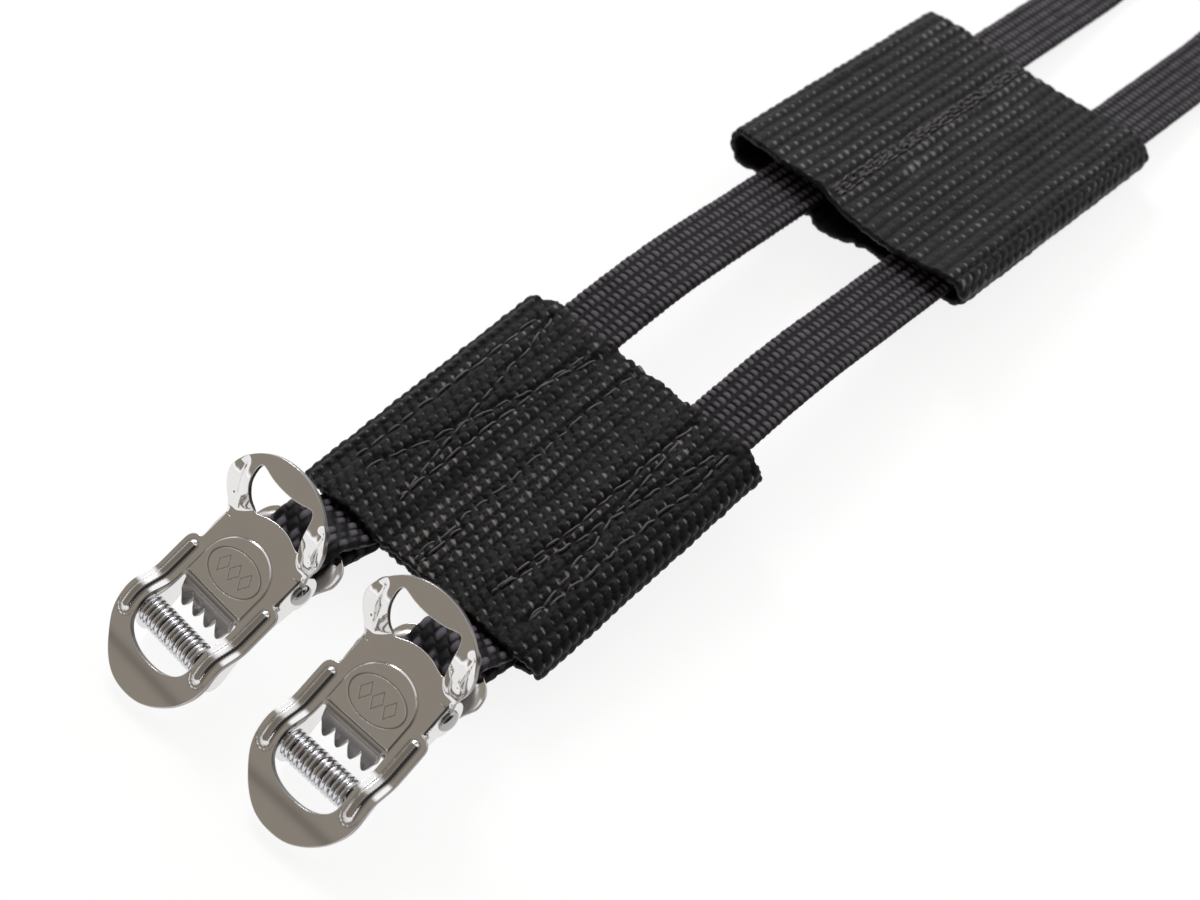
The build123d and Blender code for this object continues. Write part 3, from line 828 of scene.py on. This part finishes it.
def rear_plate(side, base):
    """Plate that the strap folds round, turned down a little at its rim."""
    ob = sheet(f"{side}_base_plate", PLATE_OUTLINE, [STRAP_SLOT], plate_surface, thick=0.8,
               place=base, step=0.4, edge_step=0.18, shade=plate_painted_shade)
    assign(ob, f"{side}_buckle", "plated_sheet", f"{side}_buckle_base")


def pivot_rivet(side, base):
    """Pin along X with two domed heads."""
    half_length, pin_radius, head_radius, head_height = 8.5, 1.0, 1.72, 0.95
    dome = [(half_length + head_height * math.sin(angle), head_radius * math.cos(angle))
            for angle in np.linspace(0, math.pi / 2, 14)]
    dome[-1] = (dome[-1][0], 0.0)
    outline = flipped([(x, radius) for x, radius in dome])
    outline += [(-half_length, pin_radius), (half_length, pin_radius)] + dome
    ob = lathe(f"{side}_rivet", outline, segments=40, place=base, mat=PIN_STEEL)
    assign(ob, f"{side}_buckle", "steel_pin", f"{side}_pivot_rivet")


def wire_roller(side, base, phase):
    """Coil of wire along X; phase varies its slightly uneven turns."""
    turns, length, radius = 14, 12.2, 2.0
    angle = np.linspace(0, 2 * math.pi * turns, turns * 48)
    x = -length / 2 + angle / (2 * math.pi) * (length / turns) + 0.07 * np.sin(angle / 2.3 + phase)
    coil = np.stack([x, ROLLER_Y + radius * np.cos(angle), ROLLER_Z + radius * np.sin(angle)], 1)
    ob = joined(f"{side}_wire_roller", [tube(coil, 0.35, sides=16)], WIRE_STEEL, base)
    assign(ob, f"{side}_roller", "steel_wire", f"{side}_roller_coil")


def recolour_cad(name, mat):
    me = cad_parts[name].data
    me.materials.clear()
    me.materials.append(mat)


for i, side in enumerate(SIDES):
    lever_plate(side, LEVER[i])
    side_plates(side, BASE[i], LEVER[i])
    rear_plate(side, BASE[i])
    pivot_rivet(side, BASE[i])
    wire_roller(side, BASE[i], phase=i)
    recolour_cad(f"{side}_roller_axle", PIN_STEEL)
    recolour_cad(f"{side}_lever_spring", WIRE_STEEL)


# --- Weaves ------------------------------------------------------------------
# Each takes the distance along and the girth (distance round the section from its top
# middle), and gives the height, the tone (mostly painted highlight and shade) and the place across
# the yarn from -1 to 1.
def cells(t):
    """Cell number, and the place in the cell from -1 to 1."""
    number = np.floor(t)
    return number, 2 * (t - number) - 1


def strap_weave(along, girth, seed):
    """Close weave of the straps."""
    girth = girth + 0.06 * noise_a(along / 5.0 + seed, girth / 3.0 + 9)
    along = along + 0.10 * noise_b(along / 4.0 + seed, girth / 2.5)
    col, a = cells(girth / 2.04)
    row, b = cells((along + 0.30 * a * a) / 1.28)
    amp = 1 + 0.22 * cell_random(row, col, 1 + seed)
    h = (1 - np.abs(a) ** 2.6) * (1 - np.abs(b) ** 2.4)
    split = 0.16 * bell(a, 0.16) * (1 - np.abs(b) ** 2)
    # tone: painted highlight on the tops of the floats and painted shade in the gaps, with some
    # random tone from cell to cell
    tone = np.clip(1.15 * h ** 1.3 - 0.12 + 0.2 * cell_random(row, col, 5 + seed) * h, 0, 1)
    return 0.27 * amp * (h - split * 0.55) - 0.11, tone, a


def loop_weave(along, girth, seed):
    """Open diagonal weave of the folded end: bright and dark floats in a checker, the brightness a
    painted highlight on each float's top.
    """
    girth = girth + 0.10 * noise_a(along / 3.0 + seed, girth / 3.0)
    col, a = cells(girth / 1.5)
    row, b = cells(along / 2.1 + 0.5 * (col % 2) + 0.18 * a)
    h = np.clip(1 - np.abs(a) ** 2.4, 0, 1) ** 0.8 * np.clip(1 - np.abs(b) ** 2.2, 0, 1) ** 0.7
    level = np.where((col + row) % 2 == 0, 0.95, 0.30)
    tone = np.clip(h * level + 0.22 * cell_random(row, col, 4 + seed) * h, 0, 1)
    return 0.34 * h * (1 + 0.2 * cell_random(row, col, 6 + seed)) - 0.14, tone, a


def sleeve_weave(along, girth, seed, pitch):
    """Coarse weave of the sleeves: short floats in staggered columns."""
    girth = girth + 0.16 * noise_a(along / 6.0 + seed, girth / 7.0)
    along = along + 0.20 * noise_b(along / 5.0 + seed, girth / 5.0)
    col, a = cells(girth / pitch[0])
    row, b = cells(along / pitch[1] + 0.5 * (col % 2) + 0.16 * a)
    h = np.clip(1 - np.abs(a) ** 2.2, 0, 1) ** 0.8 * np.clip(1 - np.abs(b) ** 2.0, 0, 1) ** 0.75
    amp = (1 + 0.25 * cell_random(row, col, 3 + seed)
           + 0.18 * cell_random(0 * col, col, 9 + seed))
    # painted highlight: a small bright wedge where the crossing yarn dips between one float and
    # the next
    wide = 0.74 + 0.34 * bell(girth + 0.5, 6.5) + 0.24 * cell_random(row, col, 12 + seed)
    end = np.where(b > 0, 1 - b, 1 + b)
    reach = 0.35 + 0.9 * wide * end / 0.5 + 0.15
    wedge = bell(end, 0.42 * wide) * np.clip(1 - (np.abs(a) / reach) ** 2, 0, 1)
    wedge = wedge * (b > 0) + 0.75 * wedge * (b <= 0)
    # the painted highlight's strength varies in patches and from cell to cell; the tops of the
    # floats get a little painted highlight too
    painted_highlight = (0.72 + 0.45 * noise_d(girth / 2.1 + seed, along / 14.0)
            + 0.25 * cell_random(row, col, 7 + seed))
    tone = np.clip(0.20 * h + 0.10 * cell_random(row, col, 8 + seed) * h
                   + np.clip(painted_highlight, 0.1, 1.3) * wedge, 0, 1)
    return 0.36 * amp * h + 0.12 * wedge - 0.16, tone, a


def flat_section(flat, radius, across, round_edge):
    """Flat section with round edges, as rows of x, normal x, normal z and girth.

    flat is half the flat width; across and round_edge are the counts of steps.
    """
    rows = []
    for hand in (1, -1):
        start = 0 if hand > 0 else 2 * flat + radius * math.pi
        for k in range(across):
            x = -flat + 2 * flat * k / across
            rows.append((hand * x, 0, hand, start + x))
        for k in range(round_edge):
            angle = math.pi * k / round_edge
            rows.append((hand * (flat + radius * math.sin(angle)), hand * math.sin(angle),
                         hand * math.cos(angle), start + flat + radius * angle))
    return np.array(rows, float)


# --- Straps ------------------------------------------------------------------
def ribbon(name, centre, across, thick, weave, ds, dq, seed, start=0.0, taper=None):
    """Flat webbing with rounded edges along a centre line; across holds its width directions.

    ds and dq are the mesh steps along and round it, start the weave's distance at its first end.
    """
    along = distance_along(centre)
    count = int(along[-1] / ds) + 1
    t = np.linspace(0, along[-1], count)
    centre = np.stack([np.interp(t, along, column) for column in centre.T], 1)
    across = np.stack([np.interp(t, along, column) for column in across.T], 1)
    tangent = unit(np.gradient(centre, axis=0))
    across = unit(across - tangent * (across * tangent).sum(1)[:, None])
    normal = np.cross(across, tangent)[:, None, :]
    radius = thick / 2
    flat = STRAP_WIDTH / 2 - radius
    flat_steps = int(2 * flat / dq)
    edge_steps = max(7, int(math.pi * radius / 0.28))
    section = flat_section(flat, radius, flat_steps, edge_steps)
    x, normal_x, normal_z, girth = section.T
    size = len(section)
    s, q = np.meshgrid(t + start, girth, indexing="ij")
    # the column pattern starts again on the underside so that both edges match
    total = 4 * flat + 2 * math.pi * radius
    under = q > flat + radius * math.pi - math.pi * radius / 2
    h, tone, yarn = weave(s, np.where(under, q - total / 2, q), seed)
    width = np.ones(count) if taper is None else taper(t + start)
    wide = across[:, None, :]
    verts = (centre[:, None, :] + (x[None, :] * width[:, None])[..., None] * wide
             + (radius * normal_z)[None, :, None] * normal
             + h[..., None] * (normal_x[None, :, None] * wide + normal_z[None, :, None] * normal))
    faces = grid_faces(count, size)
    # close each end with quads from the upper to the lower face
    middle = flat_steps + edge_steps // 2
    steps = range(flat_steps + 2 * (edge_steps // 2) + 1)
    for base, flip in ((0, True), ((count - 1) * size, False)):
        upper = [base + (middle - k) % size for k in steps]
        lower = [base + (middle + k) % size for k in steps]
        for k in steps[:-1]:
            corners = list(dict.fromkeys([upper[k], upper[k + 1], lower[k + 1], lower[k]]))
            if len(corners) >= 3:
                faces.append(corners[::-1] if flip else corners)
    return new_object(name, verts.reshape(-1, 3), faces, STRAP_CLOTH,
                      uv=np.stack([q.ravel(), s.ravel()], 1),
                      values={"tone": tone.ravel(), "yarn": yarn.ravel()})


def straight_across(path):
    return np.tile([1.0, 0.0, 0.0], (len(path), 1))


def on_slope(x, y):
    """Point of the straps behind the bend, from a level distance y."""
    return REAR.point(x, slope_distance(y), 0.0)


def buckle_fold(side, strap_x, base, seed):
    """Fold round the buckle's rear plate, both layers running into the sewn sleeve."""
    fold_z, fold_radius = -3.56, 1.39
    top_z, low_z = fold_z + fold_radius, fold_z - fold_radius
    turn = [(4.55 - fold_radius * math.sin(angle), fold_z + fold_radius * math.cos(angle))
            for angle in np.linspace(0, math.pi, 13)]
    round_plate = [(9.4, top_z), (7.0, top_z)] + turn + [(6.5, low_z)]
    path = [LAY.point(strap_x, y, LAYER_Z) for y in (16.0, 8.0, 2.0, -0.6)]
    path += [base.point(0, y, z) for y, z in round_plate]
    path += [LAY.point(strap_x, y, -LAYER_Z) for y in (-0.4, 2.0, 8.0, 16.0)]
    model_x = [np.array([1.0, 0.0, 0.0])] * 4
    across = np.vstack([model_x, [base.directions([1, 0, 0])] * len(round_plate), model_x])
    both = smooth_path(np.hstack([path, across]), sigma=0.45, step=0.12)
    ob = ribbon(f"{side}_strap_buckle_fold", both[:, :3], both[:, 3:], 1.62, loop_weave,
                ds=0.13, dq=0.24, seed=seed)
    metres(LAY.point(strap_x, 0.6, 0))
    metres(LAY.point(strap_x, -2.6, 0))
    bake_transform(ob)
    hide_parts(f"{side}_strap_loop")


def strap_middle(side, strap_x, seed):
    """From inside the sewn sleeve over the bend to the cut in the sliding sleeve.

    Returns the length of its path.
    """
    level = [(40.0, 0.0), (46.0, 0.0), (52.0, -0.05), (60.0, -0.15), (66.0, -0.45), (72.0, -1.05)]
    points = [LAY.point(strap_x, y, z) for y, z in level]
    points += [on_slope(strap_x, y) for y in (78.0, 95.0, 120.0, CUT_Y)]
    path = smooth_path(points, sigma=2.5, step=0.4)
    ob = ribbon(f"{side}_strap_middle", path, straight_across(path), STRAP_THICK, strap_weave,
                ds=0.16, dq=0.25, seed=seed)
    metres(LAY.point(strap_x, 64.0, 0))
    metres(LAY.point(strap_x, 80.0, -1.5))
    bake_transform(ob)
    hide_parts(f"{side}_strap_front")
    return distance_along(path)[-1]


def strap_end(side, strap_x, seed, start):
    """From the cut, hidden in the sliding sleeve, to the narrowed tip on the ground."""
    points = [on_slope(strap_x, y) for y in (CUT_Y + 0.02, 160.0, 185.0)]
    points += [FOOT + (strap_x, y, LAYER_Z) for y in (TAIL_BEND_Y, 240.0, 300.0, TAIL_END_Y)]
    path = smooth_path(points, sigma=2.2, step=0.4)
    path[:, 2] = np.maximum(path[:, 2], LAYER_Z)
    total = start + distance_along(path)[-1]
    tip_length, tip_width = 6.5, 0.27  # the width is a share of the full width

    def taper(along):
        left = total - along
        narrow = tip_width + (1 - tip_width) * np.sqrt(np.clip(left / tip_length, 0, 1))
        return np.where(left > tip_length, 1.0, narrow)

    ob = ribbon(f"{side}_strap_end", path, straight_across(path), STRAP_THICK, strap_weave,
                ds=0.2, dq=0.25, seed=seed, start=start, taper=taper)
    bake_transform(ob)
    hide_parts(f"{side}_strap_rear", f"{side}_strap_tail")


for i, side in enumerate(SIDES):
    buckle_fold(side, STRAP_X[i], BASE[i], seed=3 + i)
    middle_length = strap_middle(side, STRAP_X[i], seed=7 + i)
    strap_end(side, STRAP_X[i], seed=7 + i, start=middle_length)

# --- Sleeves and their stitches ----------------------------------------------
# lip of a sleeve's open end: (share of the way through the webbing, how far it bulges out)
LIP = ((0.12, 0.20), (0.35, 0.34), (0.65, 0.34), (0.88, 0.20), (1.0, 0.0))


def sleeve(name, place, width, length, half_height, skin, seed, pitch, near_edge, far_edge,
           depth, dy=0.17, dq=0.24):
    """Wide webbing folded to a flat tube.

    half_height(x, y, face) is the half thickness above (face 1) and below (face -1).
    skin is the webbing's thickness, depth how far the ends' inner walls are closely meshed.
    """
    radius = half_height(np.array([width / 2]), np.array([0.0]), 1)[0]
    flat = width / 2 - radius
    section = flat_section(flat, radius, int(2 * flat / dq), int(math.pi * radius / dq))
    x, normal_x, normal_z, girth = section.T
    size = len(section)
    t = np.linspace(0, 1, int(length / dy) + 1)[:, None]
    y = near_edge(x, normal_z) * (1 - t) + (length + far_edge(x, normal_z)) * t
    q, x, normal_x, normal_z = (np.broadcast_to(v, y.shape)
                                for v in (girth, x, normal_x, normal_z))
    z = normal_z * np.where(normal_z > 0, half_height(x, y, 1), half_height(x, y, -1))
    h, tone, yarn = sleeve_weave(y, q, seed, pitch)
    outer = np.stack([x + h * normal_x, y, z + h * normal_z], -1)
    inner = np.stack([x - skin * normal_x, y, z - skin * normal_z], -1)

    def end_rows(at, sign):
        """The webbing's thickness at an open end, then a short way back inside."""
        rows = []
        for share, push in LIP:
            row = outer[at] * (1 - share) + inner[at] * share
            lump = 0.10 * cell_random(np.floor(girth / 0.5), 0 * girth + at, seed + 4)
            row[:, 1] -= sign * (push + lump * (share < 0.99))
            rows.append(row)
        for back in (depth * 0.33, depth * 0.66, depth):
            row = inner[at].copy()
            row[:, 1] += sign * back
            rows.append(row)
        return rows

    first = end_rows(0, 1)[::-1]
    last = end_rows(-1, -1)
    skip = int(depth / dy) + 6
    last += [inner[k] for k in range(len(outer) - 1 - skip, skip, -14)]
    grid = np.concatenate([first, outer, last], 0)

    def padded(values, gain):
        return np.concatenate([np.repeat(values[:1] * gain, len(first), 0), values,
                               np.repeat(values[-1:] * gain, len(last), 0)], 0)

    # painted shade: the open ends and the inner wall take a quarter of the edge tone, and the rows
    # deepest inside none
    tone, yarn = padded(tone, 0.25), padded(yarn, 1)
    tone[:3] = 0.0
    tone[-3:] = 0.0
    faces = grid_faces(len(grid), size)
    # the tube's inner wall runs right through and closes the mesh
    here = np.arange(size)
    after = (here + 1) % size
    end = (len(grid) - 1) * size
    faces += np.stack([end + here, end + after, after, here], 1).tolist()
    q = np.broadcast_to(girth, grid.shape[:2])
    ob = new_object(name, place.points(grid.reshape(-1, 3)), faces, SLEEVE_CLOTH,
                    uv=np.stack([q.ravel(), grid[..., 1].ravel()], 1),
                    values={"tone": tone.ravel(), "yarn": yarn.ravel()})
    return ob


def stitches(name, lines, half_height, place, length, radius, seed, gap, sides):
    """Rows of single stitches that dip into a sleeve's upper (1) and lower (-1) faces."""
    rng = np.random.default_rng(seed)
    parts, tones = [], []
    k = np.linspace(-1, 1, 15)
    for side in sides:
        for line in lines:
            along = distance_along(line)
            at = 0.0
            while at < along[-1] - 0.6:
                size = min(length * rng.uniform(0.75, 1.25), along[-1] - at)
                t = np.linspace(at, at + size, 15)
                x = np.interp(t, along, line[:, 0])
                y = np.interp(t, along, line[:, 1])
                lift = 0.20 - 0.62 * np.abs(k) ** 5
                z = half_height(x, y, side) + lift + 0.04 * rng.normal()
                x = x + rng.normal() * 0.05 + 0.10 * rng.normal() * (1 - k ** 2)
                thickness = radius * (1.05 - 0.25 * np.abs(k) ** 4)
                parts.append(tube(np.stack([x, y, side * z], 1), thickness, sides=10))
                tones.append(rng.uniform(0.3, 1.0))
                at += size + gap * rng.uniform(0.6, 1.5)
    return joined(name, parts, THREAD, place, tones)


# rows of stitches on the sewn sleeve, as bent lines of (x, y)
STITCH_LINES = [
    [(-19.8, 45.0), (-19.9, 32.0), (-20.2, 20.0), (-20.4, 7.0)],
    [(-9.4, 45.0), (-9.7, 33.0), (-10.0, 20.0), (-10.4, 7.0)],
    [(-18.1, 46.7), (-15.2, 33.0), (-12.6, 19.0), (-10.0, 6.3)],
    [(-7.1, 45.8), (-11.2, 31.0), (-13.8, 20.5), (-17.7, 6.3)],
    [(-1.0, 47.5), (-1.4, 34.0), (-0.8, 20.0), (-1.0, 1.0)],
    [(-0.2, 9.5), (-0.1, 1.2)],
    [(12.3, 46.5), (12.1, 30.0), (11.5, 4.5)],
    [(20.1, 46.5), (19.6, 28.0), (18.5, 4.5)],
    [(12.5, 43.0), (15.2, 26.0), (18.5, 5.0)],
    [(18.2, 45.0), (15.4, 27.0), (11.3, 4.6)],
]
front_seams = [smooth_path(line, sigma=2.0, step=0.5) for line in STITCH_LINES]
for k, line in enumerate(front_seams):
    line[:, 0] += (0.28 * noise_c(line[:, 1] / 3.3 + 5 * k, 3.0 * k)
                   + 0.18 * noise_d(line[:, 1] / 1.3, 2.0 * k))
FRONT_HALF = 2.55


def front_half(x, y, face):
    """Raised over both straps, uneven, and drawn in along the stitches; alike on both faces."""
    base = FRONT_HALF + 0 * x
    for strap_x in STRAP_X:
        base = base + 0.62 * (1 - smoothstep(5.4, 8.0, np.abs(x - strap_x)))
    base = base + 0.10 * noise_a(x / 9.0 + 3, y / 11.0) + 0.05 * noise_b(x / 3.0, y / 4.0 + 7)
    nearest = np.full(np.broadcast(x, y).shape, 9.0)
    for line in front_seams:
        coarse = line[::3]
        for start, end in zip(coarse[:-1], coarse[1:]):
            nearest = np.minimum(nearest, line_distance(x, y, start, end))
    base = base - 0.42 * bell(nearest, 0.75)
    fade = 1 - smoothstep(22.0, 22.5, np.abs(x))
    return np.where(np.abs(x) > 22.4, FRONT_HALF + (base - FRONT_HALF) * fade, base)


def front_near(x, up):
    """Ragged near edge; up is the section's normal z."""
    waver = 0.32 * noise_c(x / 2.2, up * 0.7 + 2) + 0.22 * noise_d(x / 0.9, up + 5)
    corner = 0.7 * smoothstep(21.0, 25.0, np.abs(x))
    return waver + corner + np.where(up < 0, 0.9 * np.clip(-up, 0, 1), 0.0)


def front_far(x, up):
    waver = 0.40 * noise_c(x / 2.4 + 30, up * 0.7) + 0.25 * noise_d(x / 0.8 + 11, up)
    return waver - 0.9 * smoothstep(20.5, 25.0, np.abs(x))


front = sleeve("front_webbing_sleeve", LAY, width=50.0, length=49.3, half_height=front_half,
               skin=1.15, seed=1, pitch=(2.0, 1.8), near_edge=front_near, far_edge=front_far,
               depth=9.0)
assign(front, "front_straps", "sleeve_webbing", "front_sleeve")
threads = stitches("front_sleeve_threads", front_seams, front_half, LAY, length=3.2, radius=0.19,
                   seed=5, gap=0.35, sides=(1, -1))
assign(threads, "front_straps", "stitching", "front_sleeve_stitching")

# sliding sleeve
REAR_WIDTH, REAR_LENGTH, REAR_HEIGHT, REAR_WALL = 52.5, 57.5, 7.3, 1.35
# its middle above the straps' centre, from its inner height
REAR_RISE = (REAR_HEIGHT - 2 * REAR_WALL) / 2 - 0.9 - 0.06
REAR_SLEEVE = REAR @ moved(-2.4, slope_distance(101.5), REAR_RISE)


def rear_half(x, y, face):
    """The upper face sags between the straps and is drawn in along its seam."""
    if face > 0:
        base, roll = 3.35, 0.18
        sag = (1.15 * smoothstep(-9.0, 3.0, x) * (1 - smoothstep(15.0, 22.0, x))
               * (1 - 0.35 * smoothstep(0, 30.0, y)) + 0.25 * bell(x + 14, 5.0))
        seam = 0.35 * bell(x + 3.3, 1.1)
    else:
        base, roll, sag, seam = 3.72, 0.04, 0.0, 0.0
    roll = roll * noise_a(x / 9.0 + 13, y / 14.0 + 3)
    fade = 1 - smoothstep(21.0, 22.9, np.abs(x))
    return base + (roll - sag - seam) * fade


def rear_near(x, up):
    upper = (0.22 * noise_c(x / 3.0 + 60, 2.0) + 0.12 * noise_d(x / 1.0, 7.0)
             - 1.5 * smoothstep(-7.0, 5.0, x))
    lower = (0.5 * noise_c(x / 3.4 + 20, 9.0) + 0.35 * noise_d(x / 1.1 + 4, 1.0)
             + 0.5 * bell(x + 17, 8) - 2.6 * bell(x + 1.0, 4.2) + 0.5 * smoothstep(8.0, 16.0, x))
    share = smoothstep(0.3, -0.5, up)
    return upper * (1 - share) + lower * share + 0.5 * smoothstep(22, 26, np.abs(x))


def rear_far(x, up):
    waver = 0.3 * noise_c(x / 2.8 + 80, up) + 0.2 * noise_d(x / 1.0 + 31, up)
    return waver - 0.6 * smoothstep(22, 26, np.abs(x))


def rear_seams():
    """Four wavering rows of stitches side by side."""
    y = np.arange(0.8, REAR_LENGTH - 0.6, 0.5)
    lines = []
    for k, x in enumerate((-4.2, -3.6, -3.0, -2.4)):
        waver = 0.22 * noise_c(y / 2.0 + 9 * k, 4.0 * k) + 0.12 * noise_d(y / 0.9, 3.0 * k)
        lines.append(np.stack([x + waver, y], 1))
    return lines


rear = sleeve("rear_webbing_sleeve", REAR_SLEEVE, width=REAR_WIDTH, length=REAR_LENGTH,
              half_height=rear_half, skin=1.2, seed=6, pitch=(2.4, 2.1), near_edge=rear_near,
              far_edge=rear_far, depth=14.0)
assign(rear, "rear_sleeve", "sleeve_webbing", "rear_sleeve")
threads = stitches("rear_sleeve_threads", rear_seams(), rear_half, REAR_SLEEVE, length=2.2,
                   radius=0.17, seed=9, gap=0.15, sides=(1,))
assign(threads, "rear_sleeve", "stitching", "rear_sleeve_stitching")


# --- Floor, light and camera (metres) ----------------------------------------
def build_floor():
    """Wide floor that glows almost white."""
    me = bpy.data.meshes.new("floor")
    me.from_pydata([(-3, -3, 0), (3, -3, 0), (3, 3, 0), (-3, 3, 0)], [], [(0, 1, 2, 3)])
    me.update()
    mat, graph = material("floor_white")
    diffuse = graph.add("ShaderNodeBsdfDiffuse", {"Color": (0.22, 0.22, 0.22, 1)})
    glow = graph.add("ShaderNodeEmission", {"Color": (1, 1, 1, 1), "Strength": 0.86})
    both = graph.add("ShaderNodeAddShader", {0: diffuse.outputs[0], 1: glow.outputs[0]})
    graph.add("ShaderNodeOutputMaterial", {0: both.outputs[0]})
    me.materials.append(mat)
    floor = bpy.data.objects.new("floor", me)
    bpy.context.scene.collection.objects.link(floor)
    floor.location.z = -0.0002


def build_world():
    """Taupe room, white round the horizon and at the back, dark to the right."""
    taupe, white = (0.30, 0.268, 0.232, 1), (1.15, 1.15, 1.17, 1)
    dark, backdrop = (0.035, 0.034, 0.036, 1), (1.0, 1.0, 1.0, 1)
    world = bpy.data.worlds.new("studio")
    world.use_nodes = True
    bpy.context.scene.world = world
    graph = Graph(world)
    direction = graph.add("ShaderNodeTexCoord").outputs["Generated"]
    parts = graph.add("ShaderNodeSeparateXYZ", {0: direction})
    horizon = graph.grey_ramp(parts.outputs[2],
                              [(0.0, 1), (0.09, 1), (0.17, 0), (0.92, 0), (1.0, 0.15)])
    backward = graph.add("ShaderNodeVectorMath", {0: direction, 1: (-0.25, 0.97, 0.0)},
                         operation="DOT_PRODUCT").outputs["Value"]
    backward = graph.math("ADD", graph.math("MULTIPLY", backward, 0.5), 0.5)
    back = graph.grey_ramp(backward, [(0.0, 0), (0.62, 0), (0.74, 1), (1.0, 1)])
    colour = graph.mix(graph.math("MAXIMUM", horizon, back), taupe, white)
    # the dark right side draws the thin dark edges in the plating
    right = graph.grey_ramp(graph.math("MULTIPLY", parts.outputs[0], 1.0),
                            [(0.0, 0), (0.60, 0), (0.78, 1), (1.0, 1)])
    colour = graph.mix(right, colour, dark)
    # what the camera sees behind the floor is plain white
    camera_ray = graph.add("ShaderNodeLightPath").outputs["Is Camera Ray"]
    colour = graph.mix(camera_ray, colour, backdrop)
    background = graph.add("ShaderNodeBackground", {"Strength": 1.0, "Color": colour})
    graph.add("ShaderNodeOutputWorld", {0: background.outputs[0]})


def softbox(name, at, aim, size, power):
    light = bpy.data.lights.new(name, "AREA")
    light.shape = "RECTANGLE"
    light.size, light.size_y = size
    light.energy = power
    ob = bpy.data.objects.new(name, light)
    ob.location = at
    ob.rotation_euler = (Vector(aim) - Vector(at)).to_track_quat("-Z", "Y").to_euler()
    bpy.context.scene.collection.objects.link(ob)


# the camera in the sewn sleeve's frame: rows point right, down and forward in its view
CAMERA_AXES = [[0.7224, 0.6914, 0.0083], [0.5678, -0.5864, -0.5778], [-0.3946, 0.4221, -0.8162]]
CAMERA_AT = (120.76, -90.06, 241.91)


def build_camera():
    camera = bpy.data.cameras.new("camera")
    camera.sensor_fit = "HORIZONTAL"
    camera.sensor_width = 36.0
    camera.lens = 58.182
    camera.clip_start = 0.01
    camera.dof.use_dof = True
    focus = bpy.data.objects.new("focus", None)
    focus.location = metres(FOOT + (0.0, -4.0, 8.0))
    bpy.context.scene.collection.objects.link(focus)
    camera.dof.focus_object = focus
    camera.dof.aperture_fstop = 30.0
    ob = bpy.data.objects.new("camera", camera)
    # the nearest true rotation to the rounded axes
    left, _, right = np.linalg.svd(np.array(CAMERA_AXES))
    view_right, view_down, forward = left @ right @ LAY.turn.T
    columns = (view_right, -view_down, -forward, LAY.point(*CAMERA_AT) * MM)
    matrix = Matrix.Identity(4)
    for c, column in enumerate(columns):
        for r in range(3):
            matrix[r][c] = column[r]
    ob.matrix_world = matrix
    bpy.context.scene.collection.objects.link(ob)
    bpy.context.scene.camera = ob


build_floor()
build_world()
softbox("key", at=(-0.62, 0.347, 0.60), aim=(0, -0.123, 0), size=(0.30, 0.24), power=3.2)
bpy.context.scene.view_settings.view_transform = "Standard"
bpy.context.scene.view_settings.look = "None"
build_camera()
